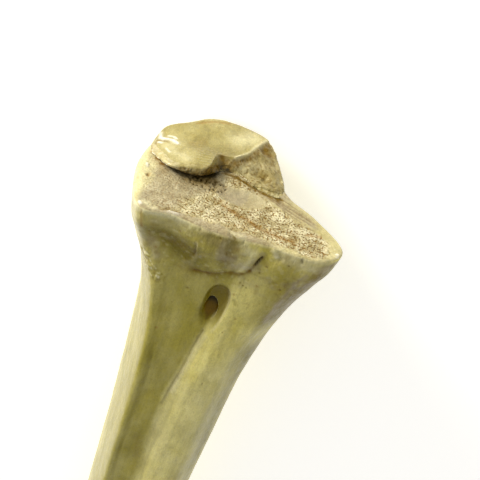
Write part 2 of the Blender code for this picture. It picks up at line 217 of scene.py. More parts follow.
# The next four give the swellings, grooves and end faces that the solids have too, with the same numbers
def relief(a, w, h):
    outer = smoothStep(h, -12, 0)
    lift = hill(a, w, (8, -6), (8, 11), 1.6) + hill(a, w, (16, -25), (11, 7), -1.8)
    lift = lift + hill(a, w, (21, 9), (6, 8), -1.0)
    seam = bell(w - alongTable(seamOuter, a), 3.5)
    lift = lift - seam * smoothStep(a, 60, 90) * fallOff(a, 330, 420)
    wrist = smoothStep(a, 470, 545)
    grooves = 2.6 * np.cos((h + 19) / 25 * 2 * np.pi) * bell(h + 19, 34, 4)
    shiftW = smoothStep(-w, 18, 30) * wrist * grooves
    shiftW = shiftW - smoothStep(w, 12, 22) * wrist * 3.0 * bell(h + 20, 16)
    return shiftW, outer * lift


def elbowFace(w, h):
    dish = hill(w, h, (-4, -6), (26, 14), 1.5) + hill(w, h, (-3.5, -12.5), (10.5, 5), 0.8)
    return dish - 1.2 * smoothStep(-h, 14, 30)


def plateFace(w, h):
    pegs = 3.0 * np.cos((w + 5) / 30 * np.pi) * np.cos((h + 19) / 38 * np.pi)
    return pegs + 1.2 * np.sin(w / 11) * np.sin(h / 13)


def wristFace(w, h):
    across = (h + 19) / 38
    facets = 2.6 * np.cos(3 * np.pi * across + 0.5 * w / 20)
    roll = 5.5 * np.sin((w + 6) / 34 * np.pi)
    styloid = 6.0 * smoothStep(np.abs(across), 0.55, 1.0) * bell(w + 2, 24)
    return facets - roll + styloid


# Outer surface: places are (a, w), and heights, depths and widths are in mm
surfaceDetail = {
    "unevenness": 0.24,  # slow ups and downs of the cortex
    "valley": ((0, 4), (28, 8.6), (40, 8), (52, 5.8), (64, 3.2), (75, 1.6), (98, -1.5), (123, -4.3),
               (165, -2.5), (230, -2)),  # between the darker and the paler panel
    "bowl": (48.5, 3.9, 19.7, 6.0, -0.085),  # round the vessel opening: middle, half sizes, turn
    "bowlDepth": 2.3,
    "canalTop": ((20, 9), (40, 5), (50, 4.6), (70, 5), (110, 4)),  # (a, h): below it the opening is painted dark, as shade inside the hole
    "crackLine": ((7, 15.6), (9, 14.9), (10.6, 14.4), (12.8, 13.9)),  # open stretch of the crease
    "crackDepth": 1.2,
    "crackWidth": (0.16, 0.24),  # at its ends, and what the middle adds
    "crackStain": (0.14, 0.34),
    "collarLift": 0.25,  # front half of the collar
    "knobHeight": 0.45,  # crumbly swelling under the rim
    "roughLine": ((27, -31), (32, -27.5), (38, -22.5)),  # rough strip where a ligament held
    "roughHeight": (0.42, 0.26),  # of its coarse and its fine grit
    "chipDepth": 0.6,  # chips out of the rim
    "seamDepth": 0.8,  # seam at the back between radius and ulna
    "backEdge": ((2, 42.5), (7, 40), (16, 37.3), (29, 35.3), (47, 34.3), (60, 34)),  # painted shade keeps to it
}
creaseWay = (
    (7, 15.6), (9, 14.8), (12.8, 13.9), (17.5, 12.9), (19.8, 11.6), (21.8, 9.4), (21.3, 6.4), (22, 4.4),
    (24.8, -0.2), (27.2, -5.1), (27.9, -8.5),
)
outerForms = (
    (-0.55, 3, {"brown": 0.16, "olive": 0.25}, creaseWay),
    (-0.35, 0.8, {"brown": 0.55}, creaseWay[3:]),
    (0.4, 1.6, {"pale": 0.35}, ((5.5, 13.2), (9.5, 11.6), (14, 10.6), (18, 9))),
    (-0.5, 2.6, {"olive": 0.35, "brown": 0.12}, ((4, 4), (9, 2.5), (15, 1))),
    (-0.4, 0.5, {"brown": 0.6}, creaseWay[:4]),
    (0, 7, {"olive": 0.55, "brown": 0.2}, ((8, -27), (14, -21), (18, -13))),  # darker olive and brown towards the front of the collar
    (0, 5, {"olive": 0.34}, ((4, -6), (3, 2))),
    # olive and brown over the back of the collar
    (0, 9, {"olive": 0.42, "brown": 0.14}, ((10, 27), (24, 28), (40, 27))),
    # slot at the lower end of the opening
    (-0.35, 0.9, {"dark": 0.3, "brown": 0.3}, ((54.3, 2.6), (56.8, 2.9))),
    (0, 2.4, {"grey": 0.55}, ((17, -29.5), (21.4, -27.5), (26, -25))),
    (0, 5.2, {"grey": 0.42, "olive": 0.12}, ((11, 1.5), (14, 9))),
    (0, 4, {"grey": 0.32, "olive": 0.1}, ((4, -7), (5, 1), (5, 9))),
    (0.5, 4.5, {}, ((7, 8), (8, 9))),
    (0, 3.2, {"grey": 0.45, "pale": 0.25}, ((3, 23), (3.5, 32), (5, 40))),
    # pale on the front flank here is painted light
    (0, 5.5, {"pale": 0.55}, ((12, -38), (18, -36))),
    (0.1, 1.8, {"pale": 0.45}, ((3.2, 6.8), (6.1, 10.7))),
    (0.2, 0.9, {"pale": 0.18},
     ((24.9, -14), (22.6, -11.6), (20.8, -10.1), (17.3, -9.3), (15.3, -7.8), (14.3, -6.2))),
    (-0.45, 0.55, {"dark": 0.2, "brown": 0.35}, ((9.6, -11.1), (13.2, -10.8), (17, -10.6))),
    (-0.15, 1.9, {"brown": 0.26}, ((30, -12.9), (28.3, -10.3), (26.1, -7.6))),
    (-0.35, 0.45, {"olive": 0.7}, ((0.7, 6.5), (1.9, 6.4), (2.8, 6.3))),
    (-0.25, 0.35, {"brown": 0.5}, ((8.2, 1.3), (9.7, 1.7))),
    (0, 0.6, {"rust": 0.5}, ((1, -35.2), (5.7, -34.6), (10.2, -33.8))),
    (-0.5, 0.45, {"brown": 0.6}, ((-0.2, -0.2), (0.6, 1.4), (1.3, 2.8))),
    (0.45, 0.8, {"pale": 0.6}, ((2, 18.7), (2.9, 19.7), (4.2, 20.8))),
    (-0.6, 1.3, {"olive": 0.2}, ((2.4, 20.7), (4.6, 22.4))),
    (-0.6, 0.45, {"dark": 0.45}, ((1.4, 30.3), (3, 31.1))),
    (0, 1.2, {"grey": 0.75},
     ((8.5, 34.5), (12.6, 32.7), (19, 31.7), (25.7, 30), (31.6, 29.1), (37.1, 28.6), (46, 27.6))),
    (-0.4, 0.7, {"olive": 0.55, "brown": 0.12},
     ((64, 3.4), (77, 1.6), (89, 0.8), (101, -0.7), (113, -2.3), (126, -3.8))),
    (0.25, 1.2, {"pale": 0.22}, ((66, 5.2), (77, 3.6), (89, 2.6), (101, 1), (113, -0.4))),
    (0, 1, {"olive": 0.3},
     ((112, 1.6), (123, 1.7), (135, 1.8), (149, 0.7), (161, -0.8), (175, -1.3), (200, -0.5))),
    (0, 2.2, {"brown": 0.26}, ((157, -10), (165, -8.5), (175, -7.6))),
    (-0.1, 0.5, {"brown": 0.16}, ((36, 15.9), (35.4, 17.4), (36, 18.6), (38.3, 17.9))),
    (-0.35, 0.9, {"olive": 0.3}, ((36.5, 11.5), (38.5, 12.6))),
) + tuple((-1.1 * size, size, {"brown": 0.75}, ((pitA, pitW),)) for pitA, pitW, size in (
    (11.1, 18.7, 0.45), (16.1, 16.8, 0.45), (6.6, 26.7, 0.35), (21.5, 27.4, 0.5), (39.3, 20.7, 0.3),
    (25.4, 11, 0.4), (26.3, 12.6, 0.35), (26.8, 14.1, 0.35), (2.6, -2.6, 0.4), (40.5, -9.3, 0.6),
    (12.3, -30.5, 0.35), (9.8, -29.5, 0.3), (33, 22, 0.3), (52, -14, 0.3), (58, 12, 0.3), (75, 14, 0.28),
    (84, -9, 0.28), (97, 12, 0.3), (120, -12, 0.3), (141, 9, 0.3),
)) + tuple((-0.25, 0.55, {"rust": 0.65}, (spot,)) for spot in (
    (7.3, -18.8), (13.8, -30.7), (21.7, -26.8), (26.4, -3.7), (24, 17.9), (47, 15), (33, 10.5), (70, -17),
))


def bowlShare(a, w):  # 1 in the hollow round the vessel opening, fading down the bone
    share = ovalShare(a, w, surfaceDetail["bowl"], 2.6)
    soft = 0.45 * smoothStep(4 - w, 0, 5) * smoothStep(a, 36, 50)
    return fallOff(share, 0.72 - soft, 1) * (1 - 0.9 * smoothStep(a, 47, 65))


def crackShare(a, w, atEnds, more):  # 1 along the open stretch of the crease, which is widest at its middle
    away, along = lineNear(a, w, surfaceDetail["crackLine"])
    return bell(away, atEnds + more * np.sin(np.pi * along))


def roughShare(a, w):  # 1 on the rough strip
    return bell(lineNear(a, w, surfaceDetail["roughLine"])[0], 2.8, 4)


def fineLift(a, w, h, outwardH):  # outward shift; outwardH is the outward direction's share along h
    d = surfaceDetail
    lift = softNoise(a / 2.2, w, h, 9, 11) + 0.45 * softNoise(a / 1.6, w, h, 3.6, 12)
    lift = d["unevenness"] * (lift + 0.22 * softNoise(a / 1.4, w, h, 1.7, 18))
    lift = lift * (0.35 + 0.65 * smoothStep(a, 2, 8))
    near = smoothStep(outwardH, 0.3, 0.6)
    lift = lift + near * (formHeight(outerForms, a, w) - d["bowlDepth"] * bowlShare(a, w))
    lift = lift - near * d["crackDepth"] * crackShare(a, w, *d["crackWidth"])
    collar = smoothStep(26 - a, 0, 4) * smoothStep(w, -30, -20) * fallOff(w, 4, 9)
    lift = lift + near * d["collarLift"] * collar
    coarse, fine = d["roughHeight"]
    rough = coarse * softNoise(a, w, h, 1.5, 13) + fine * softNoise(a, w, h, 0.8, 16)
    lift = lift + roughShare(a, w) * rough
    lift = lift + near * hill(a, w, (3, -8), (2.2, 6), d["knobHeight"]) * (0.5 + softNoise(a, w, h, 2.5, 14))
    chips = spots(a * 0.6, w, h, 2.6, 15, 0.3, 0.75) * fallOff(a, 1.2, 3.5)
    lift = lift - d["chipDepth"] * chips * smoothStep(h, 2, 8)
    backW, backH = alongTable(seamBack, a), alongTable(seamBack, a, 2)
    seam = np.exp(-(((w - backW) ** 2 + (h - backH) ** 2) / 7)) * fallOff(a, 330, 400)
    return lift - d["seamDepth"] * seam


# Worn elbow face, in mm (w, h)
elbowDetail = {
    "greyOval": (-1, -14, 10.6, 5.2, -0.1, 0.7),  # middle, half sizes, turn, depth
    "openPores": (-17.2, -14, 9, 4, -0.3),  # open spongy bone beside the lip
    "unevenness": (0.2, 0.16), "rimHeight": 0.3,  # coarse and fine; low ridge inside the rim
}
faceForms = (
    (-1.2, 0.8, {"rust": 0.9}, ((-40, -4.8),)),  # small vessel hole
    (0.2, 1.8, {}, ((-40, -4.8),)),
    # painted glints: one on the far left of the face, one on the rounded rim corner
    (0.35, 0.5, {"whiteAndHighlight": 0.8}, ((-43, -12), (-42.2, -10.2))),
    (0.25, 0.5, {"whiteAndHighlight": 0.8}, ((-37.3, 14.2), (-36.5, 15))),
    (0, 1.8, {"pale": 0.7}, ((-34.5, 13.4), (-31.5, 14.6))),
    (0.25, 1.1, {"pale": 0.4}, ((-6.6, -8.5), (0.2, -6.5), (6.3, -8.7), (10.8, -13.6), (13.1, -17.5))),
    (-0.35, 1.4, {"rust": 0.6, "brown": 0.08},
     ((-6.1, -5), (-2, -3), (1.4, -1.7), (4.2, -1.9), (6.8, -0.1), (10.7, 1.8), (15.2, 3),
      (20.7, 3.5), (24.9, 3.2))),
    (-0.2, 0.8, {"rust": 0.65}, ((29.3, -4.2), (32.6, -5.5), (35.5, -6.5))),
    (-0.15, 0.8, {"brown": 0.35, "grey": 0.3}, ((14, -19.6), (16.1, -19), (22.8, -17.1), (29, -14.9))),
    # crease at the foot of the block; its brown and dark are partly painted shade where the block meets the
    # face
    (-0.55, 1, {"brown": 0.85, "dark": 0.15},
     ((-11.3, -25), (-5.1, -25.2), (0.1, -23.3), (6, -21.6), (10.8, -21.2), (15.5, -21.6))),
    (0, 1.5, {"grey": 0.5, "brown": 0.3}, ((14, -21),)),
    (0.15, 2.2, {"pale": 0.3}, ((-8, -22), (-2, -21.6), (5, -19.6), (9, -18.5))),
    (0, 1.7, {"brown": 0.28, "grey": 0.3}, ((-6, -23.6), (1, -21.6), (7, -19.8), (14, -19.6))),
    # painted shadow of the overhanging lip on the face below it, with a brown fringe along its lower edge
    (0, 1.5, {"brown": 0.6, "dark": 0.5}, ((-29, -14.6), (-24.6, -15.8), (-20.4, -17.1), (-15.4, -19.9))),
    # darkest painted shadow, close under the lip
    (0, 1.9, {"dark": 0.85}, ((-31, -17), (-25, -18.2), (-20.4, -19.6), (-14.5, -22.6))),
    (0, 2, {"brown": 0.36, "dark": 0.14}, ((-26.5, -12.6), (-21.8, -13.6), (-17.4, -15.2), (-13.6, -18.6))),
    (-0.3, 0.7, {"rust": 0.85}, ((-45.1, -21.7), (-42, -19.3), (-39, -17.4), (-35.5, -15))),
    (0.4, 1.6, {"pale": 0.5, "grey": 0.3}, ((-0.7, 11.6), (4.9, 12.3))),
    (-0.5, 1, {"brown": 0.2}, ((-0.3, 10.2), (1.8, 9.9))),
    # painted highlight on the rim
    (0.45, 1.1, {"whiteAndHighlight": 0.35}, ((-25, 13.6), (-22, 13.2))),
    (-0.3, 0.8, {"brown": 0.5}, ((-28.5, 14), (-26.2, 12.4), (-22, 11.6))),
    # painted glint at the right corner of the rim
    (0.2, 0.5, {"whiteAndHighlight": 0.8}, ((43.4, 1.6), (43.9, 2.4))),
    (0.2, 0.5, {"pale": 0.8}, ((42.3, -1.6),)),
    (0, 2, {"rust": 0.25, "pale": 0.2}, ((-41, -17), (-34, -11))),
)


def ovalShare(w, h, oval, blunt=2.0):  # 0 in the middle and 1 on the outline; blunt above 2 squares the oval
    turn = oval[4] if len(oval) > 4 else 0.0
    dw, dh = w - oval[0], h - oval[1]
    u = (dw * math.cos(turn) + dh * math.sin(turn)) / oval[2]
    v = (-dw * math.sin(turn) + dh * math.cos(turn)) / oval[3]
    return (np.abs(u) ** blunt + np.abs(v) ** blunt) ** (1 / blunt)


def elbowFine(w, h, share):  # how far the worn face lies below the plain one; share is 1 at the rim
    d = elbowDetail
    drop = d["greyOval"][5] * fallOff(ovalShare(w, h, d["greyOval"]), 0.5, 1.05)
    coarse, fine = d["unevenness"]
    uneven = coarse * softNoise(w, h, 0, 5.0, 21) + fine * softNoise(w, h, 0, 2.0, 22)
    drop = drop + fallOff(share, 0.82, 0.97) * uneven - formHeight(faceForms, w, h)
    return drop - d["rimHeight"] * bell(share - 0.93, 0.04) * (0.6 + 0.5 * softNoise(w, h, 0, 7.0, 23))


# Middle of each end face, (w, h) in mm
faceCentre = {"elbow": (-3.0, -14.0), "plate": (-5.0, -19.0)}


def rimShare(w, h, steps):  # 0 at the middle of the elbow face and 1 on its outline
    centre = np.array(faceCentre["elbow"])
    ring = outline(0.0, steps) - centre
    angle = np.arctan2(ring[:, 1], ring[:, 0])
    order = np.argsort(angle)
    reach = np.hypot(ring[:, 0], ring[:, 1])[order]
    own = np.arctan2(h - centre[1], w - centre[0])
    return np.hypot(w - centre[0], h - centre[1]) / np.interp(own, angle[order], reach, period=2 * np.pi)


def ringFaces(ringCount, columnCount, firstPoint, lastPoint):
    j = np.arange(columnCount)
    n = (j + 1) % columnCount
    faces = []
    for k in range(ringCount - 1):
        near, far = k * columnCount, (k + 1) * columnCount
        faces.append(np.column_stack([near + j, near + n, far + n, far + j]))
    quads = np.concatenate(faces)
    base = (ringCount - 1) * columnCount
    caps = [(firstPoint, b, c) for b, c in zip(n, j)]
    caps += [(lastPoint, base + b, base + c) for b, c in zip(j, n)]
    return quads, caps


def boneRings(stations, steps, startFace, endFace, startRound, endRound, startCentre, endCentre, capRings):
    low, high = stations[0], stations[-1]
    rings = []

    def edge(a, inset, centre):
        points = outline(a, steps)
        shiftW, shiftH = relief(a, points[:, 0], points[:, 1])
        points = points + np.stack([shiftW, shiftH], axis=1)
        tangent = np.roll(points, -1, axis=0) - np.roll(points, 1, axis=0)
        outward = np.column_stack([-tangent[:, 1], tangent[:, 0]])
        outward /= np.linalg.norm(outward, axis=1)[:, None] + 1e-9
        station = np.full(len(points), a + 0.0)
        points = points + outward * fineLift(station, points[:, 0], points[:, 1], outward[:, 1])[:, None]
        points[:, 1] = np.maximum(points[:, 1], place["restLevel"])
        away = points - centre
        return centre + away * (1 - inset / np.linalg.norm(away, axis=1)[:, None])

    def add(points, base, face, shift):
        rings.append(np.column_stack([base + shift + face(points[:, 0], points[:, 1]), points]))

    startCentre, endCentre = np.array(startCentre, float), np.array(endCentre, float)
    rim = edge(low, startRound, startCentre)
    for k in range(1, capRings[0]):
        add(startCentre + (rim - startCentre) * (k / capRings[0]), low, startFace, 0)
    add(rim, low, startFace, 0)
    turns = np.linspace(0, 1, 7)[1:-1] * np.pi / 2
    for angle in turns:
        rise = startRound * (1 - np.cos(angle))
        add(edge(low + rise, startRound * (1 - np.sin(angle)), startCentre), low, startFace, rise)
    span = 15.0
    for a in stations[1:-1]:
        fromStart, fromEnd = np.clip((a - low) / span, 0, 1), np.clip((high - a) / span, 0, 1)
        points = edge(a, 0, startCentre if a - low < high - a else endCentre)
        bend = startFace(points[:, 0], points[:, 1]) * (1 - fromStart)
        bend = bend + endFace(points[:, 0], points[:, 1]) * (1 - fromEnd)
        rings.append(np.column_stack([a + bend, points]))
    for angle in turns[::-1]:
        rise = endRound * (1 - np.cos(angle))
        add(edge(high, endRound * (1 - np.sin(angle)), endCentre), high, endFace, -rise)
    rim = edge(high, endRound, endCentre)
    add(rim, high, endFace, 0)
    for k in range(capRings[1] - 1, 0, -1):
        add(endCentre + (rim - endCentre) * (k / capRings[1]), high, endFace, 0)
    first = np.array([low + startFace(*startCentre), *startCentre])
    last = np.array([high + endFace(*endCentre), *endCentre])
    return rings, first, last


def toWorld(points):  # (a, w, h) in mm to metres in the frame
    a, w, h = points.T
    x, y = place["elbowX"] - a / 1000, place["midY"] - w / 1000
    return np.column_stack([x, y, (h - place["restLevel"]) / 1000])


def toLocal(points):
    x, y, z = points.T
    return (place["elbowX"] - x) * 1000, (place["midY"] - y) * 1000, z * 1000 + place["restLevel"]


def addObject(name, data):
    thing = bpy.data.objects.new(name, data)
    bpy.context.scene.collection.objects.link(thing)
    return thing


def meshFromRings(name, rings, first, last, inBox=True):
    points = toWorld(np.concatenate([np.concatenate(rings), [first], [last]]))
    if inBox:
        points = np.clip(points, np.array(cadBox[0]) + 1e-6, np.array(cadBox[1]) - 1e-6)
    quads, caps = ringFaces(len(rings), len(rings[0]), len(points) - 2, len(points) - 1)
    mesh = bpy.data.meshes.new(name)
    mesh.from_pydata(points.tolist(), [], quads.tolist() + caps)
    mesh.update()
    piece = addObject(name, mesh)
    mesh.calc_loop_triangles()
    corners = np.array([triangle.vertices[:] for triangle in mesh.loop_triangles])
    if np.linalg.det(points[corners]).sum() < 0:
        mesh.flip_normals()
    mesh.shade_smooth()
    return piece


def readVectors(items, key):
    values = np.empty(len(items) * 3)
    items.foreach_get(key, values)
    return values.reshape(-1, 3)


def readSurface(mesh):  # the points in mm along, across and up the bone, and the directions that they face
    return *toLocal(readVectors(mesh.vertices, "co")), readVectors(mesh.vertex_normals, "vector")


maskNames = ("olive", "grey", "pale", "spongy", "open", "rust", "brown", "whiteAndHighlight", "dark")


def setMasks(mesh, masks):  # a value per point for each stain, painted shade and painted highlight, which the materials and the node trees read
    for name in maskNames:
        values = masks.get(name, 0) + np.zeros(len(mesh.vertices))
        attribute = mesh.attributes.new(name, "FLOAT", "POINT")
        attribute.data.foreach_set("value", np.clip(values, 0, 1).astype(np.float32))


# Vessel opening below the elbow: path (a, w, h), then half sizes along and across it, in mm
vesselOpening = {
    "path": (
        (90, 2.6, 24, 2.8, 3.2), (72, 2.6, 14.4, 2.8, 3.2), (60, 2.6, 8.5, 2.8, 3.2), (51, 3, 5.2, 2.8, 3.3),
        (45, 3.1, 3, 2.8, 3.3), (39, 3, 0.6, 2.7, 3.2), (33, 3.2, -2.4, 2.6, 3), (26, 3.6, -7, 2.3, 2.7),
        (19, 3.9, -12.5, 2, 2.3),
    ),
    "sides": 40, "stations": 60,
}


def vesselCutter():
    rows = np.array(vesselOpening["path"], float)
    knots = np.arange(len(rows))
    fineKnots = np.linspace(0, len(rows) - 1, vesselOpening["stations"])
    path = np.column_stack([curve(fineKnots, knots, rows[:, i]) for i in range(5)])
    angle = np.arange(vesselOpening["sides"]) * 2 * np.pi / vesselOpening["sides"]
    rings = []
    for k in range(len(path)):
        way = path[min(k + 1, len(path) - 1), :3] - path[max(k - 1, 0), :3]
        way /= np.linalg.norm(way)
        side = np.array([0.0, 1.0, 0.0]) - way * way[1]
        side /= np.linalg.norm(side)
        up = np.cross(way, side)
        across = np.outer(np.cos(angle), side) * path[k, 4]
        rings.append(path[k, :3] + across + np.outer(np.sin(angle), up) * path[k, 3])
    return meshFromRings("vesselCutter", rings, path[0, :3], path[-1, :3], False)


def bakeObject(piece):  # modifiers turned into a plain mesh
    graph = bpy.context.evaluated_depsgraph_get()
    graph.update()
    mesh = bpy.data.meshes.new_from_object(piece.evaluated_get(graph))
    piece.modifiers.clear()
    old = piece.data
    piece.data = mesh
    bpy.data.meshes.remove(old)
    mesh.name = piece.name


def cutAway(piece, cutter):
    modifier = piece.modifiers.new("cut", "BOOLEAN")
    modifier.operation = "DIFFERENCE"
    modifier.solver = "EXACT"
    modifier.object = cutter
    bakeObject(piece)
    bpy.data.objects.remove(cutter, do_unlink=True)
    piece.data.shade_smooth()


def addNode(tree, kind, inputs=None, **settings):  # an input that is a node or a socket is linked
    node = tree.nodes.new(kind)
    for name, value in settings.items():
        setattr(node, name, value)
    for key, value in (inputs or {}).items():
        socket = node.inputs[key]
        if isinstance(value, bpy.types.Node):
            value = value.outputs[0]
        if isinstance(value, bpy.types.NodeSocket):
            tree.links.new(value, socket)
        elif socket.type == "VECTOR" and isinstance(value, float):
            socket.default_value = (value,) * 3
        else:
            socket.default_value = value
    return node


# Worn spongy bone, in metres: clumps of grains with hollows between them under the mask named spongy, and
# open pores under the one named open. Single grains of 0.4 mm are too fine to show, so the material draws
# them as beads of about 0.9 mm
sponge = {
    "Grain Size": 0.0024, "Gap Depth": 0.00016, "Open Pore Size": 0.0015, "Open Pore Depth": 0.0012,
    "Seed": 3.0,
}
# Where each pattern turns from bone to gap, and how short its cells look along the bone: 1 is round
grainLook = {"from": 0.012, "to": 0.085, "detail": 1.0, "along": 0.4}
poreLook = {"from": 0.22, "to": 0.5, "along": 0.3}
beadLook = {"from": 0.46, "to": 0.84, "along": 0.35, "size": 0.00086, "strength": 0.95}


def addCells(tree, where, size, seed, along):  # coordinates that count cells of this size
    perCell = addNode(tree, "ShaderNodeMath", {0: 1.0, 1: size}, operation="DIVIDE")
    stretched = addNode(tree, "ShaderNodeVectorMath", {0: where, 1: (along, 1.0, 1.0)}, operation="MULTIPLY")
    scaled = addNode(tree, "ShaderNodeVectorMath", {0: stretched, "Scale": perCell}, operation="SCALE")
    return addNode(tree, "ShaderNodeVectorMath", {0: scaled, 1: seed}, operation="ADD")


def addGrain(tree, where, size, seed):  # 0 on the crest of a curled grain and 1 in the gap beside it
    cells = addCells(tree, where, size, seed, grainLook["along"])
    settings = {"Vector": cells, "Scale": 1.0, "Detail": grainLook["detail"]}
    noise = addNode(tree, "ShaderNodeTexNoise", settings)
    centred = addNode(tree, "ShaderNodeMath", {0: noise, 1: 0.5}, operation="SUBTRACT")
    away = addNode(tree, "ShaderNodeMath", {0: centred}, operation="ABSOLUTE")
    limits = {"Value": away, "From Min": grainLook["from"], "From Max": grainLook["to"]}
    return addNode(tree, "ShaderNodeMapRange", limits, interpolation_type="SMOOTHSTEP")


def addPores(tree, where, size, seed):  # 1 in an open pore and 0 on the bone round it
    cells = addCells(tree, where, size, seed, poreLook["along"])
    away = addNode(tree, "ShaderNodeTexVoronoi", {"Vector": cells, "Scale": 1.0, "Randomness": 0.95})
    limits = {"Value": away, "From Min": poreLook["from"], "From Max": poreLook["to"]}
    limits.update({"To Min": 1.0, "To Max": 0.0})
    return addNode(tree, "ShaderNodeMapRange", limits, interpolation_type="SMOOTHSTEP")


def addBeads(tree, where):  # 0 on a bead of spongy bone and 1 in the gaps round it
    cells = addCells(tree, where, beadLook["size"], 0.0, beadLook["along"])
    away = addNode(tree, "ShaderNodeTexVoronoi", {"Vector": cells, "Scale": 1.0, "Randomness": 1.0})
    limits = {"Value": away, "From Min": beadLook["from"], "From Max": beadLook["to"]}
    return addNode(tree, "ShaderNodeMapRange", limits, interpolation_type="SMOOTHSTEP")


def buildSpongeTree():
    tree = bpy.data.node_groups.new("wornSpongyBone", "GeometryNodeTree")
    face = tree.interface
    face.new_socket("Geometry", in_out="INPUT", socket_type="NodeSocketGeometry")
    for name, value in sponge.items():
        face.new_socket(name, in_out="INPUT", socket_type="NodeSocketFloat").default_value = value
    face.new_socket("Bone Material", in_out="INPUT", socket_type="NodeSocketMaterial")
    face.new_socket("Geometry", in_out="OUTPUT", socket_type="NodeSocketGeometry")
    start = addNode(tree, "NodeGroupInput")
    position = addNode(tree, "GeometryNodeInputPosition")
    depth = 0.0
    for maskName, addPattern, size, deep in (
        ("spongy", addGrain, "Grain Size", "Gap Depth"),
        ("open", addPores, "Open Pore Size", "Open Pore Depth"),
    ):
        mask = addNode(tree, "GeometryNodeInputNamedAttribute", {0: maskName}, data_type="FLOAT")
        pattern = addPattern(tree, position, start.outputs[size], start.outputs["Seed"])
        masked = addNode(tree, "ShaderNodeMath", {0: pattern, 1: mask}, operation="MULTIPLY")
        terms = {0: masked, 1: start.outputs[deep], 2: depth}
        depth = addNode(tree, "ShaderNodeMath", terms, operation="MULTIPLY_ADD")
    inward = addNode(tree, "ShaderNodeMath", {0: depth, 1: -1.0}, operation="MULTIPLY")
    normal = addNode(tree, "GeometryNodeInputNormal")
    offset = addNode(tree, "ShaderNodeVectorMath", {0: normal, "Scale": inward}, operation="SCALE")
    moved = {"Geometry": start.outputs["Geometry"], "Offset": offset}
    shaped = addNode(tree, "GeometryNodeSetPosition", moved)
    real = addNode(tree, "GeometryNodeRealizeInstances", {"Geometry": shaped})
    finish = {"Geometry": real, "Material": start.outputs["Bone Material"]}
    addNode(tree, "NodeGroupOutput", {0: addNode(tree, "GeometryNodeSetMaterial", finish)})
    return tree


def wearSurface(piece, tree, material):
    modifier = piece.modifiers.new("worn spongy bone", "NODES")
    modifier.node_group = tree
    values = {**sponge, "Bone Material": material}
    for item in tree.interface.items_tree:
        if item.in_out == "INPUT" and item.name in values:
            modifier[item.identifier] = values[item.name]
    bakeObject(piece)


def srgb(code):  # "#RRGGBB" to the linear values that the shaders take
    parts = [int(code[i:i + 2], 16) / 255 for i in (1, 3, 5)]
    return tuple(p / 12.92 if p <= 0.04045 else ((p + 0.055) / 1.055) ** 2.4 for p in parts) + (1.0,)


# Dry bone: ivory that yellows with grease and darkens with earth, a hard skin with a waxy gloss over dull
# open sponge, and a little light that goes in and comes out again
# olive, brown and dark also serve for painted shade, and the near-white colour for painted highlights
boneLook = {
    "cortex": "#CEC158", "cortexPale": "#DDD280", "olive": "#746A06", "brown": "#6A5002", "grey": "#998D6E",
    "pale": "#DCD5A8", "grain": "#CCC39C", "gap": "#775A22", "tan": "#A6986C", "rust": "#8A621E",
    "dark": "#251C08", "facet": "#918446", "facetPale": "#A69B62", "fleck": "#7A6A33", "whiteAndHighlight": "#F6F2E0",
    "wax": "#F2E2A4",
    "roughness": 0.36, "facetRoughness": 0.22, "spongeRoughness": 0.8, "roughnessSpread": (-0.08, 0.12),
    "gloss": 0.28, "facetGloss": 0.5, "coatRoughness": 0.14, "bumpHeight": 0.0003,
    "innerLight": 0.08, "innerLightReach": 0.0012, "innerLightColor": (1.0, 0.7, 0.35),
}
# Size in mm, detail, length along the bone where 1 is round and less is longer, tone and share of the bump
bonePatterns = {
    "patches": (15.0, 3.0, 0.5, 0.25, 0), "blotches": (4.5, 3.0, 0.6, 0.4, 0.9),
    "streaks": (2.2, 3.0, 0.07, 0.42, 0.5), "flecks": (1.5, 2.5, 0.55, 0.45, 0.9),
    "grit": (0.6, 2.0, 0.55, 0.4, 0.35),
}
# Which pattern lays a colour on, the values between which it comes in, and how strong it gets
patternColors = {
    "cortexPale": ("patches", 0.4, 0.6, 1.0), "fleck": ("flecks", 0.56, 0.74, 0.45),
    "grain": ("blotches", 0.42, 0.6, 1.0), "rust": ("blotches", 0.48, 0.62, 0.12),
}


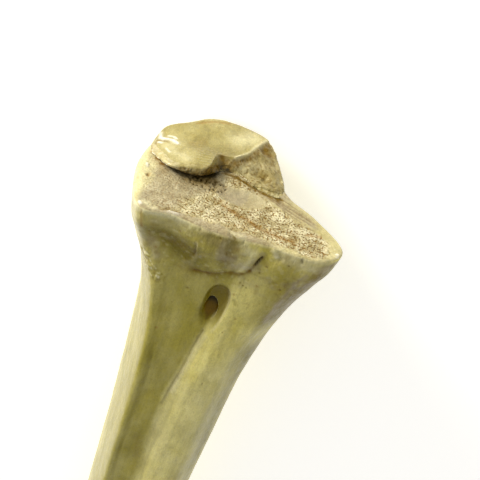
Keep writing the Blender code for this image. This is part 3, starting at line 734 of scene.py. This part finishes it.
def buildBone(name, *lookNames):
    look = boneLook
    baseCode, paleCode, roughness, gloss = (look[key] for key in lookNames)
    material = bpy.data.materials.new(name)
    material.use_nodes = True
    tree = material.node_tree
    shader = tree.nodes["Principled BSDF"]

    def add(kind, inputs=None, output=0, **settings):
        return addNode(tree, "ShaderNode" + kind, inputs, **settings).outputs[output]

    where = add("TexCoord", None, "Object")
    masks = {key: add("Attribute", None, "Fac", attribute_name=key) for key in maskNames}
    patterns, tone, height = {}, 1.0, 0.0
    for key, (size, detail, along, toneShare, bumpShare) in bonePatterns.items():
        perMetre = 1000.0 / size
        scales = along * perMetre, perMetre, perMetre
        scaled = add("VectorMath", {0: where, 1: scales}, operation="MULTIPLY")
        pattern = add("TexNoise", {"Vector": scaled, "Scale": 1.0, "Detail": detail, "Roughness": 0.6})
        centred = add("Math", {0: pattern, 1: 0.5}, operation="SUBTRACT")
        tone = add("Math", {0: centred, 1: toneShare, 2: tone}, operation="MULTIPLY_ADD")
        if bumpShare:
            height = add("Math", {0: pattern, 1: bumpShare, 2: height}, operation="MULTIPLY_ADD")
        patterns[key] = pattern
    shares = {}
    for key, (pattern, low, high, most) in patternColors.items():
        limits = {"Value": patterns[pattern], "From Min": low, "From Max": high, "To Max": most}
        shares[key] = add("MapRange", limits)

    gap = addBeads(tree, where)
    pore = addPores(tree, where, sponge["Open Pore Size"], sponge["Seed"])
    pore = add("MapRange", {"Value": pore, "From Min": 0.25, "From Max": 0.75})
    inGap = add("Math", {0: gap, 1: beadLook["strength"]}, operation="MULTIPLY")
    inPore = add("Math", {0: masks["open"], 1: pore}, operation="MULTIPLY")
    ends = []  # colours of the beads and of the gaps
    for share, first, second in (("grain", "tan", "grain"), ("rust", "gap", "rust")):
        inputs = {0: shares[share], 6: srgb(look[first]), 7: srgb(look[second])}
        ends.append(add("Mix", inputs, 2, data_type="RGBA"))
    spongyBone = add("Mix", {0: inGap, 6: ends[0], 7: ends[1]}, 2, data_type="RGBA")

    layers = [(shares["cortexPale"], srgb(paleCode)), (shares["fleck"], srgb(look["fleck"]))]
    layers += [(masks[key], srgb(look[key])) for key in ("olive", "grey", "pale")]
    layers += [(masks["spongy"], spongyBone), (inPore, srgb(look["dark"]))]
    layers += [(masks[key], srgb(look[key])) for key in ("rust", "brown", "whiteAndHighlight", "dark")]
    color = srgb(baseCode)
    for share, above in layers:  # from the bare cortex to the last stain on it; some layers are painted shade and painted highlights
        color = add("Mix", {0: share, 6: color, 7: above}, 2, data_type="RGBA")
    color = add("VectorMath", {0: color, "Scale": tone}, operation="SCALE")

    least, most = (roughness + more for more in look["roughnessSpread"])
    limits = {"Value": patterns["flecks"], "From Min": 0.3, "From Max": 0.7, "To Min": least, "To Max": most}
    rough = {0: masks["spongy"], 2: add("MapRange", limits), 3: look["spongeRoughness"]}
    gapDepth = add("Math", {0: gap, 1: masks["spongy"]}, operation="MULTIPLY")
    height = add("Math", {0: height, 1: gapDepth}, operation="SUBTRACT")
    bump = add("Bump", {"Strength": 1.0, "Distance": look["bumpHeight"], "Height": height})
    tree.links.new(color, shader.inputs["Base Color"])
    tree.links.new(add("Mix", rough, data_type="FLOAT"), shader.inputs["Roughness"])
    tree.links.new(bump, shader.inputs["Normal"])
    for socket, value in (
        ("Subsurface Weight", look["innerLight"]), ("Subsurface Radius", look["innerLightColor"]),
        ("Subsurface Scale", look["innerLightReach"]), ("Specular IOR Level", gloss),
        ("Specular Tint", srgb(look["wax"])), ("Coat Weight", 0.7 * gloss - 0.1),
        ("Coat Roughness", look["coatRoughness"]),
    ):
        shader.inputs[socket].default_value = value
    return material


boneMaterial = buildBone("dry cortical bone", "cortex", "cortexPale", "roughness", "gloss")
# Joint surface: dense calcified cartilage left over the sponge, darker with grease and shinier than the shaft
facetLook = "facet", "facetPale", "facetRoughness", "facetGloss"
facetMaterial = buildBone("joint surface over spongy bone", *facetLook)
spongeTree = buildSpongeTree()
say("materials and node trees ready")

# Radius and ulna, grown together, in mm
forearm = {
    "columnsOuter": 40, "columnsInner": 12,  # points in each span between two landmarks
    "stations": ((1.9, 70, 0.58), (70, 130, 1.5), (130, 215, 3.5), (215, 544, 9.0)),  # from, to, step
    "round": (1.4, 0.8), "capRings": (96, 10),  # at the elbow end and at the growth plate
}


def spanSteps(outer, inner):
    return [outer] * 5 + [inner] * 7


def addStains(masks, rows):  # each row is a colour, its full strength and where it lies
    for name, strength, share in rows:
        masks[name] = masks[name] + strength * share


def elbowStartFace(steps):
    def face(w, h):
        share = rimShare(np.atleast_1d(w), np.atleast_1d(h), steps)
        fine = elbowFine(np.atleast_1d(w), np.atleast_1d(h), share) * fallOff(share, 0.98, 1.03)
        value = elbowFace(w, h) + fine
        return value if np.ndim(w) else float(value[0])
    return face


def endMasks(a, w, h, steps):  # stains of the worn elbow face, with the painted shadow of the lip and painted glints
    share = rimShare(w, h, steps)
    inOval = fallOff(ovalShare(w, h, elbowDetail["greyOval"]), 0.96, 1.14)
    patchy, fine = softNoise(w, h, 0, 4.0, 31), softNoise(w, h, 0, 1.6, 32)
    masks = {name: formStain(faceForms, name, w, h, fine) for name in maskNames}
    inward = (1 - share) * np.hypot(w - faceCentre["elbow"][0], h - faceCentre["elbow"][1])
    farStrip = smoothStep(w * 0.42 - h, 20.5, 22.5) * smoothStep(w, 4, 8)
    fibres = spots((w + 0.42 * h) / 9, (h - 0.42 * w) / 0.7, 0, 1.0, 39, 0.0, 0.7)
    middle = 3.6 - 1.8 * smoothStep(w, 14, 40)
    # Smooth band along the near rim
    band = fallOff(inward + 1.1 * patchy + 0.5 * fine, middle - 1.2, middle + 1.2)
    left, leftRim = fallOff(w + 0.5 * h + 3 * patchy, -26, -13), smoothStep(-w + 2 * patchy, 35, 42)
    opened = fallOff(ovalShare(w, h, elbowDetail["openPores"]) + 0.25 * patchy, 0.65, 1.15)
    density = (1 - 0.65 * left) * (1 - 0.75 * band) * (1 - 0.85 * inOval) * (1 - 0.8 * farStrip)
    density = density * (1 - 0.8 * smoothStep(-h + 0.5 * w, 30, 34))
    density = density * (1 - 0.85 * smoothStep(w + patchy, 37.5, 42))
    masks["open"], masks["spongy"] = opened, density
    addStains(masks, (
        ("olive", 0.16, inOval),
        ("grey", 0.6, 1 - 0.6 * leftRim),
        ("grey", 0.3, inOval),
        ("grey", 0.4, band * smoothStep(w, -34, -28) * fallOff(w, 10, 26)),
        ("grey", 0.8, left * (0.8 + 0.2 * patchy) * (1 - leftRim)),
        ("grey", 1.0, farStrip * (0.15 + 0.45 * fibres) * fallOff(w, 30, 36)),
        ("pale", 0.22, smoothStep(w, 34, 42)),
        ("pale", 0.7, leftRim),
        ("pale", 0.2, band * smoothStep(w, 6, 20)),
        ("pale", 0.12, inOval * smoothStep(-h, 13, 18)),
        ("brown", 0.3, opened),
        ("brown", 0.16, band * smoothStep(patchy, -0.5, 0.6) * smoothStep(h, -6, 2)),
        ("brown", 0.1, density * fallOff(w, 8, 24)),
        ("brown", 0.4, farStrip * fibres * fallOff(w, 28, 34)),
        ("rust", 0.2, density * spots(w, h, 0, 3.0, 33, 0.3, 0.9)),
    ))
    return masks


def outerMasks(a, w, h, normals):  # stains of the rest of the forearm bone, with painted shade and painted light on its faces
    d = surfaceDetail
    front, up = normals[:, 1], normals[:, 2]
    near, below = smoothStep(up, 0.15, 0.5) * smoothStep(a, -3, 0), smoothStep(a, 0.6, 2.4)
    slow, fine = softNoise(a / 2, w, h, 8.0, 34), softNoise(a / 1.5, w, h, 1.8, 35)
    masks = {name: near * formStain(outerForms, name, a, w, fine) for name in maskNames}
    fade = 1 - 0.65 * smoothStep(a, 220, 470)  # the two tones run together down the bone
    soft = 1.6 + 3.0 * smoothStep(a, 125, 160) + 9.0 * smoothStep(a, 200, 440)
    panel = smoothStep(alongTable(d["valley"], a) - w, -1.0, soft) * near
    behind = near * smoothStep(w - 3.5 * smoothStep(a, 40, 80), 17, 23) * smoothStep(a, 55, 80)
    bowl, collar = near * bowlShare(a, w), near * below * fallOff(a, 22, 38)
    shaft = near * (1 - panel) * (1 - behind) * (1 - bowl) * smoothStep(a, 45, 75) * fade
    # inside the vessel opening: its brown is partly painted shade, and its dark under the arch is painted
    # shade
    inCanal = smoothStep(alongTable(d["canalTop"], a) - h, 0.5, 1.6) * bell(w - 3, 5, 4) * (h > -25)
    inCanal = inCanal * smoothStep(a, 14, 18) * fallOff(a, 58, 66)
    # faces turned to the back, away from the key light, painted darker as shade
    shadedBackFlank = smoothStep(-front, 0.3, 0.6) * smoothStep(up, 0, 0.3)
    shadedBackFlank = shadedBackFlank * smoothStep(a, 2, 5) * fallOff(a, 20, 60)
    # faces turned to the front, towards the key light; their pale is painted light
    frontFlank = smoothStep(front, 0.4, 0.8)
    # olive and brown along the back edge are painted shade of the flank turned away from the key light
    backEdge = bell(lineNear(a, w, d["backEdge"])[0], 3.4)
    backEdge = backEdge * smoothStep(a, 1.5, 4) * fallOff(a, 40, 60) * (h > -12)
    rough, specks = roughShare(a, w), softNoise(a, w, h, 1.0, 17)
    edge = near * fallOff(a, 1.0, 2.4) * smoothStep(h, 4, 8)
    wornRim = smoothStep(up, 0, 0.3) * fallOff(a + fine, 2.0, 4.6) * fallOff(w, -20, -8)
    belowRim = near * fallOff(a + 2 * slow, 6, 13) * fallOff(w, -24, -12)
    addStains(masks, (
        # olive on the darker panel and behind the paler one is partly the bone's own colour and partly
        # painted shade
        ("olive", 0.42, fade * panel * below),
        ("olive", 0.35, fade * behind),
        # olive in the hollow round the vessel opening is partly the bone's own colour and partly painted
        # shade
        ("olive", 0.72, bowl),
        ("olive", 0.55, backEdge),
        ("olive", 0.12, frontFlank),
        # olive over the faces turned up is partly the bone's own colour and partly painted shade
        ("olive", 1.0, below * near * (0.16 + 0.1 * slow)),
        # olive on faces turned to the back is painted shade
        ("olive", 1.0, below * smoothStep(-front, 0.35, 0.7) * (0.42 + 0.15 * slow)),
        ("grey", 0.25, below * smoothStep(front, 0.15, 0.5) * fallOff(a, 20, 50)),
        ("grey", 0.15, frontFlank),
        ("grey", 0.3, collar * spots(a, w, h, 3.2, 48, 0.0, 0.7)),
        ("grey", 0.4, edge),
        ("grey", 0.18, wornRim),
        # pale on the paler panel is partly the bone's own colour and partly painted light
        ("pale", 1.0, shaft * (0.28 + 0.08 * slow)),
        ("pale", 0.22, collar * spots(a, w, h, 1.5, 49, 0.2, 0.8)),
        ("pale", 0.75, rough * smoothStep(specks, 0.15, 0.5)),
        # pale on faces turned to the front is painted light
        ("pale", 0.25, frontFlank),
        ("pale", 1.0, edge * (0.25 + 0.22 * fine)),
        ("pale", 0.45, wornRim),
        ("pale", 0.16, belowRim * (1 - wornRim)),
        ("brown", 0.9, inCanal),
        # brown in the upper hollow is partly painted shade
        ("brown", 0.34, bowl * fallOff(a, 50, 62)),
        ("brown", 0.05, shadedBackFlank),
        ("brown", 0.36, backEdge),
        ("brown", 0.1, near * spots(a / 1.5, w, h, 5.0, 38, 0.25, 0.8)),
        ("brown", 0.26, collar * spots(a, w, h, 2.1, 40, 0.1, 0.8)),
        ("brown", 0.35, rough * smoothStep(-specks, 0.1, 0.5)),
        ("dark", 1.0, inCanal * fallOff(a, 46.6, 49.2)),
        ("dark", 0.9, near * crackShare(a, w, *d["crackStain"])),
    ))
    masks["olive"] = masks["olive"] * (1 - 0.45 * belowRim)
    return masks


def makeForearm():
    steps = spanSteps(forearm["columnsOuter"], forearm["columnsInner"])
    stations = np.concatenate([[0], *(np.arange(*part) for part in forearm["stations"]), [546.5, 548]])
    sides = elbowStartFace(steps), plateFace, *forearm["round"], faceCentre["elbow"], faceCentre["plate"]
    piece = meshFromRings("forearmBone", *boneRings(stations, steps, *sides, forearm["capRings"]))
    cutAway(piece, vesselCutter())
    a, w, h, normals = readSurface(piece.data)
    end, rest = endMasks(a, w, h, steps), outerMasks(a, w, h, normals)
    onEnd = smoothStep(normals[:, 0], 0.35, 0.7) * fallOff(a, 4.5, 6.0)
    setMasks(piece.data, {name: onEnd * end[name] + rest[name] * (1 - onEnd) for name in maskNames})
    wearSurface(piece, spongeTree, boneMaterial)
    say(f"forearm bone: {len(piece.data.polygons)} faces")
    return piece


# Worn remnant of the elbow joint: landmarks (w, h) in mm round its foot, its lower lip and its crown
remnant = {
    "foot": (
        (-44, -29), (-43.8, -23.2), (-37.8, -19), (-33, -17.5), (-28, -18.5), (-22, -20.5), (-17, -24),
        (-13.4, -26.6), (-5.1, -26.4), (5, -22.4), (15.6, -23.6), (9.6, -42.3), (0, -49.5), (-13.5, -52),
        (-26, -46.3), (-35, -40), (-42, -36),
    ),
    "lip": (
        (-44.6, -29), (-44.5, -22.6), (-38, -17.6), (-32.9, -14.2), (-27, -13.3), (-20.6, -15.3),
        (-15.6, -20.3), (-12.4, -25.2), (-5.1, -26.4), (5, -22.4), (15.7, -23.6), (9.7, -42.2), (0, -49.5),
        (-13.5, -52), (-26, -47.4), (-36, -41), (-43, -36.5),
    ),
    "crown": (
        (-45.6, -30), (-44.8, -22.8), (-39.6, -16.2), (-33.6, -11.5), (-27, -12.2), (-19.4, -14.4),
        (-17, -20.4), (-15.6, -26.2), (-5, -27.4), (5, -23.4), (14.9, -25.8), (8, -41.3), (-0.4, -50),
        (-14, -52.4), (-26.2, -50.3), (-36.6, -42), (-43.6, -37.6),
    ),
    "facetBorder": (
        (-18, -28.5), (-16.5, -29), (-9.7, -30.5), (-5.5, -35.2), (-1, -45.1), (0.7, -48.7), (3, -56),
    ),
    "blockFoot": ((-12.4, -25), (-5.1, -26.4), (5, -22.4), (15.8, -23.2)),
    "lipDroop": ((-45, 6), (-42, 4.9), (-38, 3.2), (-33, 2.1), (-28, 1), (-24, 0.4), (-20, 0)),
    "centre": (-16.0, -36.0), "gap": 1.5,  # gap: under the overhanging lip
    "rim": (0.5, 1.0),  # drop and inset of the crown's rounded edge
    "saucer": (-17, -33, 13, 10, 2.3),  # middle, half sizes and depth of the hollow facet
    "crumble": (0.34, 0.24), "bulge": 0.6,  # of its side walls
    "columns": 17, "soleRings": 8, "underRings": 5, "wallRings": 20, "crownRings": 80,
}
border = remnant["facetBorder"]
crownForms = (
    # painted highlights: a waxy patch on the left of the crown, with small painted glints round it
    (0.05, 0.6, {"whiteAndHighlight": 0.7}, ((-43.2, -27), (-41.8, -26.2))),
    (0.05, 0.5, {"whiteAndHighlight": 0.7}, ((-40.6, -31.6), (-38.2, -31.2), (-36.4, -30.2))),
    (0.05, 0.45, {"whiteAndHighlight": 0.6}, ((-38.5, -21.8), (-36.4, -19.6))),
    (0.12, 1, {"whiteAndHighlight": 0.8},
     ((-44.6, -33), (-43.4, -30.2), (-40.5, -29.4), (-37.8, -28.6), (-35.2, -27.2))),
    (-0.3, 0.5, {"rust": 0.4, "brown": 0.25}, ((-43.9, -25), (-43.8, -27.6), (-42, -28.3), (-38.9, -26.8))),
    # painted shade in the middle of the hollow facet, and painted light on its far right part
    (-0.1, 5, {"olive": 0.5, "grey": 0.2, "brown": 0.1}, ((-20, -29), (-12.5, -33))),
    (0, 5, {"pale": 0.5}, ((-11, -42.4), (-6, -46))),
    (0.1, 2.2, {"pale": 0.3}, ((-39, -24), (-34, -20), (-28, -17))),
    (0, 0.7, {"rust": 0.55}, ((-31.5, -43.6), (-24.7, -48.2), (-18.2, -50.4))),
    # low ridge along the facet's edge with a painted highlight on it
    (0.18, 0.6, {"pale": 0.55}, border[2:6]),
    (-0.1, 1.2, {"brown": 0.5, "grey": 0.2}, tuple((w + 1.2, h + 1.6) for w, h in border[2:6])),
    (-0.9, 1.5, {"brown": 0.75}, ((0.8, -42.2), (4.2, -41.2))),
    (-1.1, 2, {"olive": 0.6, "brown": 0.35}, ((1.9, -30), (6.5, -28.2))),
    (-0.6, 1.4, {"olive": 0.5}, ((-4, -33), (0, -35))),
    (-0.2, 0.8, {"brown": 0.65, "dark": 0.3}, ((-15.3, -28.8), (-14.2, -27.6), (-12.8, -26.2))),
    (0, 1.6, {"brown": 0.4, "grey": 0.25}, ((-15.5, -28.2), (-12.6, -28.2), (-10.2, -28))),
    (0.5, 2.2, {"pale": 0.25}, ((-7, -29.5), (-2, -30))),
    (0.5, 2.4, {}, ((8, -34), (10, -30))),
    (0.4, 0.7, {"pale": 0.8}, ((13.2, -30.8),)),
)


def breakShare(w, h):  # 0 on the facet to 1 at the broken side's foot, and how far past its edge
    signed = lineNear(w, h, border)[0] * np.sign(h - alongTable(border, w))
    beyond = np.maximum(signed, 0)
    toFoot = np.maximum(alongTable(remnant["blockFoot"], w) - h, 0.3)
    return beyond / (beyond + toFoot) * smoothStep(w, -18, -15.5), signed


def crownFace(w, h):
    saucerW, saucerH, wide, high, deep = remnant["saucer"]
    facet = -6.2 - 0.086 * (-h - 10) + hill(w, h, (saucerW, saucerH), (wide, high), deep)
    facet = facet + alongTable(remnant["lipDroop"], w) * (1 - 0.4 * smoothStep(-h, 30, 42))
    share, beyond = breakShare(w, h)
    broken = smoothStep(beyond, 0.3, 1.8) * smoothStep(w, -17, -14.5)
    lump = 0.55 * softNoise(w, h, 0, 4.8, 41) + 0.45 * softNoise(w, h, 0, 2.1, 42)
    lump = lump + 0.25 * softNoise(w, h, 0, 1.0, 43)
    wave = 0.1 * softNoise(w, h, 0, 6.0, 44) + 0.06 * softNoise(w, h, 0, 2.2, 45)
    ripple = 0.14 * np.sin(np.hypot(w + 26, h + 40) * 3.0) * hill(w, h, (-21, -23), (5, 6))
    level = facet * (1 - share) - 0.8 * share
    return level + broken * lump + (1 - broken) * (wave + ripple) - formHeight(crownForms, w, h)


def remnantRings():
    steps = [remnant["columns"]] * len(remnant["foot"])
    foot, lip, crown = (closedSpline(remnant[name], steps) for name in ("foot", "lip", "crown"))
    centre = np.array(remnant["centre"])
    rings, kinds = [], []  # kind: -1 sole, 0 to 1 up the wall, 2 crown

    def add(level, points, kind):
        rings.append(np.column_stack([level, points]))
        kinds.append(np.full(len(points), kind))

    def sole(points):  # on the block side the foot settles into the crumbly face below it
        settle = smoothStep(points[:, 0], -11, -6) * smoothStep(points[:, 1], -34, -28)
        return elbowFace(points[:, 0], points[:, 1]) - 0.3 + 0.6 * settle

    for k in range(1, remnant["soleRings"] + 1):
        points = centre + (foot - centre) * (k / remnant["soleRings"])
        add(sole(points), points, -1.0)
    overhang = smoothStep(lip[:, 1], -27, -19) * smoothStep(-lip[:, 0], 10.5, 14)
    gap = remnant["gap"] * smoothStep(lip[:, 0], -40, -31) * overhang
    for part in np.linspace(0, 1, remnant["underRings"] + 1)[1:]:
        level = sole(foot) * (1 - part) + sole(lip) * part - gap * smoothStep(part, 0, 0.6)
        add(level, foot * (1 - part) + lip * part, -1.0)
    rolled = smoothStep(crown[:, 1], -27, -19) * smoothStep(-crown[:, 0], 15, 22)  # the lip rolls over softly
    rimDrop, rimInset = remnant["rim"][0] * (1 + 1.6 * rolled), remnant["rim"][1] * (1 + 1.3 * rolled)
    low, high = sole(lip) - gap, crownFace(crown[:, 0], crown[:, 1]) + rimDrop
    for part in np.linspace(0, 1, remnant["wallRings"] + 1)[1:]:
        points = lip * (1 - part) + crown * part
        level = low * (1 - part) + high * part
        outward = points - centre
        outward /= np.linalg.norm(outward, axis=1)[:, None]
        around = points[:, 0], points[:, 1], level
        coarse, fine = remnant["crumble"]
        crumble = coarse * softNoise(*around, 1.5, 46) + fine * softNoise(*around, 0.8, 47)
        crumble = crumble * smoothStep(part, 0.0, 0.15) * (1 - 0.7 * smoothStep(part, 0.75, 1.0))
        bulge = remnant["bulge"] * np.sin(np.pi * part) * overhang
        add(level, points + outward * (crumble + bulge)[:, None], part)
    for turn in np.linspace(0, 1, 7)[1:] * math.pi / 2:
        inset, drop = rimInset * (1 - math.cos(turn)), rimDrop * (1 - math.sin(turn))
        away = crown - centre
        points = centre + away * (1 - inset / np.linalg.norm(away, axis=1))[:, None]
        add(crownFace(points[:, 0], points[:, 1]) + drop, points, 1.2)
    shrunk = rings[-1][:, 1:]
    for k in range(remnant["crownRings"] - 1, 0, -1):
        points = centre + (shrunk - centre) * (k / remnant["crownRings"])
        add(crownFace(points[:, 0], points[:, 1]), points, 2.0)
    first = np.array([elbowFace(*centre) - 0.3, *centre])
    last = np.array([crownFace(*centre[:, None])[0], *centre])
    return rings, first, last, np.concatenate([*kinds, [-1.0, 2.0]])


def remnantMasks(a, w, h, normals, kind):
    beyond = breakShare(w, h)[1]
    fine, specks = softNoise(w, h, a, 1.6, 55), softNoise(w, h, a, 0.85, 61)
    top = smoothStep(kind, 1.0, 1.3)
    wall = (kind >= 0) * (1 - top)
    broken = smoothStep(beyond, 0.2, 1.8) * smoothStep(w, -17, -14.5) * top
    front = wall * smoothStep(h, -31, -26) * fallOff(w, -11, -8)  # side of the overhanging lip
    left, step = fallOff(w, -33, -29), smoothStep(w, -21, -17)
    right, beads = front * (1 - left), front * fallOff(kind, 0.06, 0.22) * spots(w, h, a, 0.9, 57, -0.1, 0.3)
    masks = {name: top * formStain(crownForms, name, w, h, fine) for name in maskNames}
    addStains(masks, (
        ("spongy", 0.18, broken),
        ("spongy", 1.0, front * (0.55 - 0.25 * step)),
        ("spongy", 0.4, wall * (1 - front)),
        ("olive", 1.0, broken * (0.5 + 0.45 * softNoise(w, h, a, 3.5, 51))),
        ("olive", 0.42, right),
        ("grey", 0.12, front * step),
        ("grey", 0.35, broken),
        ("pale", 0.18, broken * spots(w, h, a, 2.4, 58, 0.1, 0.7)),
        ("pale", 1.0, front * (1 - step) * (0.6 + 0.3 * fine) * (0.3 + 0.7 * left)),
        ("pale", 0.4, beads),
        ("whiteAndHighlight", 0.5, front * left * spots(w, h, a, 1.2, 59, -0.4, 0.3)),
        ("rust", 1.0, front * (0.1 + 0.12 * fine + 0.35 * step)),
        ("rust", 0.5, front * fallOff(kind, 0.1, 0.35)),
        ("rust", 0.12, top * (1 - broken) * spots(w, h, a, 4.0, 53, 0.2, 0.8)),
        ("brown", 1.0, right * (0.2 + 0.8 * step)),
        ("brown", 0.16, broken),
        ("brown", 0.42, broken * smoothStep(specks, 0.12, 0.5)),
        ("dark", 0.22, broken * smoothStep(specks, 0.3, 0.6)),
        ("dark", 0.62, right * spots(w * 1.5, h * 1.5, a, 1.3, 54, 0.2, 0.5)),
        ("dark", 0.8, smoothStep(-normals[:, 0], 0.3, 0.8) * (w > -36)),  # painted shade under the overhanging lip
        ("dark", 0.42, front * step * fallOff(kind, 0.3, 0.8)),
        ("dark", 0.34, front * smoothStep(w, -15.6, -13.6)),
    ))
    return masks


def makeRemnant():
    rings, first, last, kind = remnantRings()
    piece = meshFromRings("elbowJointRemnant", rings, first, last)
    setMasks(piece.data, remnantMasks(*readSurface(piece.data), kind))
    wearSurface(piece, spongeTree, facetMaterial)
    say(f"elbow joint remnant: {len(piece.data.polygons)} faces")
    return piece


# Wrist end beyond the growth plate, in mm
wristEnd = {
    "columnsOuter": 22, "columnsInner": 18, "stations": (549.5, 587, 1.1),
    "round": (0.8, 2.5), "capRings": (8, 40), "seamGap": 0.3,
}


def upperPlate(w, h):
    return plateFace(w, h) + wristEnd["seamGap"]


def makeWristEnd():
    steps = spanSteps(wristEnd["columnsOuter"], wristEnd["columnsInner"])
    stations = np.concatenate([[548], np.arange(*wristEnd["stations"]), [590]])
    sides = upperPlate, wristFace, *wristEnd["round"], faceCentre["plate"], faceCentre["plate"]
    piece = meshFromRings("wristEnd", *boneRings(stations, steps, *sides, wristEnd["capRings"]))
    a, w, h, normals = readSurface(piece.data)
    joint, patchy = smoothStep(-normals[:, 0], 0.5, 0.8), softNoise(a, w, h, 6.0, 61)
    masks = {name: values * (1 - joint) for name, values in outerMasks(a, w, h, normals).items()}
    addStains(masks, (
        ("spongy", 0.25, (1 - joint) * smoothStep(patchy, 0.1, 0.6)),
        ("olive", 0.15, joint * smoothStep(patchy, 0, 0.7)),
        ("grey", 0.2, joint),
        ("pale", 0.35, joint),
    ))
    setMasks(piece.data, masks)
    wearSurface(piece, spongeTree, boneMaterial)
    say(f"wrist end: {len(piece.data.polygons)} faces")
    return piece


pieces = (
    (makeForearm(), "radius", ("radius", "ulna")),
    (makeRemnant(), "proximal_epiphysis", ("proximal_epiphysis",)),
    (makeWristEnd(), "distal_epiphysis", ("distal_epiphysis",)),
)
for piece, slotName, nodes in pieces:
    piece.data.shade_smooth()
    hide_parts(*nodes)
    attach(piece, "root")

# Floor, lights and camera, in metres
studio = {
    "floor": "#F6F5F2", "floorSize": 6.0, "floorRoughness": 0.9,
    "floorGlow": 0.5,  # lit from below, as a light table is
    "worldColor": "#FFFFFF", "worldStrength": 0.55,
    "lightTarget": (0.24, 0.0, 0.04),
    "lights": (  # name, where it comes from, distance, size, watts, colour
        ("keyLight", (0.62, 0.75, 0.17), 1.2, 0.35, 15.8, (1.0, 0.97, 0.92)),
        ("fillLight", (0.5, -0.6, 0.6), 1.3, 0.9, 1.0, (1.0, 0.98, 0.94)),
    ),
}


def makeFloor():
    half = studio["floorSize"] / 2
    mesh = bpy.data.meshes.new("studioFloor")
    corners = [(-half, -half, 0), (half, -half, 0), (half, half, 0), (-half, half, 0)]
    mesh.from_pydata(corners, [], [(0, 1, 2, 3)])
    material = bpy.data.materials.new("matt studio paper")  # pale and even, without a shine
    material.use_nodes = True
    sockets = material.node_tree.nodes["Principled BSDF"].inputs
    sockets["Base Color"].default_value = sockets["Emission Color"].default_value = srgb(studio["floor"])
    sockets["Roughness"].default_value = studio["floorRoughness"]
    sockets["Emission Strength"].default_value = studio["floorGlow"]
    mesh.materials.append(material)
    addObject("studioFloor", mesh)


def makeLight(name, direction, distance, size, watts, color):
    data = bpy.data.lights.new(name, "AREA")
    data.shape = "DISK"
    data.size = size
    data.energy = watts
    data.color = color
    lamp = addObject(name, data)
    way = Vector(direction).normalized()
    lamp.location = Vector(studio["lightTarget"]) + way * distance
    lamp.rotation_mode = "QUATERNION"
    lamp.rotation_quaternion = (-way).to_track_quat("-Z", "Y")


def makeWorld():
    world = bpy.data.worlds.new("studioWorld")
    bpy.context.scene.world = world
    world.use_nodes = True
    sockets = world.node_tree.nodes["Background"].inputs
    sockets["Color"].default_value = srgb(studio["worldColor"])
    sockets["Strength"].default_value = studio["worldStrength"]


# Camera beyond the elbow end, looking down on the outer side: angles in degrees, distance and sensor in mm,
# focal length and target in pixels of the 480 frame, clipping in metres
shot = {
    "slope": 38.0, "roll": 20.6, "distance": 288.0, "focal": 711.0, "target": (237.0, 215.0), "frame": 480.0,
    "sensor": 36.0, "clip": (0.01, 50.0),
}


def makeCamera():
    slope, roll = math.radians(shot["slope"]), math.radians(shot["roll"])
    forward = Vector((-math.sin(slope), 0, -math.cos(slope)))
    lift = Vector((math.cos(slope), 0, -math.sin(slope)))
    across = Vector((0, -1, 0))
    right = across * math.cos(roll) + lift * math.sin(roll)
    up = lift * math.cos(roll) - across * math.sin(roll)
    half = shot["frame"] / 2
    spot = -forward * shot["distance"]
    spot -= right * ((shot["target"][0] - half) / shot["focal"] * shot["distance"])
    spot += up * ((shot["target"][1] - half) / shot["focal"] * shot["distance"])
    origin = Vector((place["elbowX"], place["midY"], -place["restLevel"] / 1000))
    data = bpy.data.cameras.new("photoCamera")
    data.sensor_width = shot["sensor"]
    data.lens = shot["focal"] / shot["frame"] * shot["sensor"]
    data.clip_start, data.clip_end = shot["clip"]
    camera = addObject("photoCamera", data)
    axes = Matrix((right, up, -forward)).transposed().to_4x4()
    camera.matrix_world = Matrix.Translation(origin + spot / 1000) @ axes
    bpy.context.scene.camera = camera


makeFloor()
for light in studio["lights"]:
    makeLight(*light)
makeWorld()
bpy.context.scene.view_settings.view_transform = "Standard"
makeCamera()
say("floor, lights and camera ready")

bpy.context.view_layer.update()
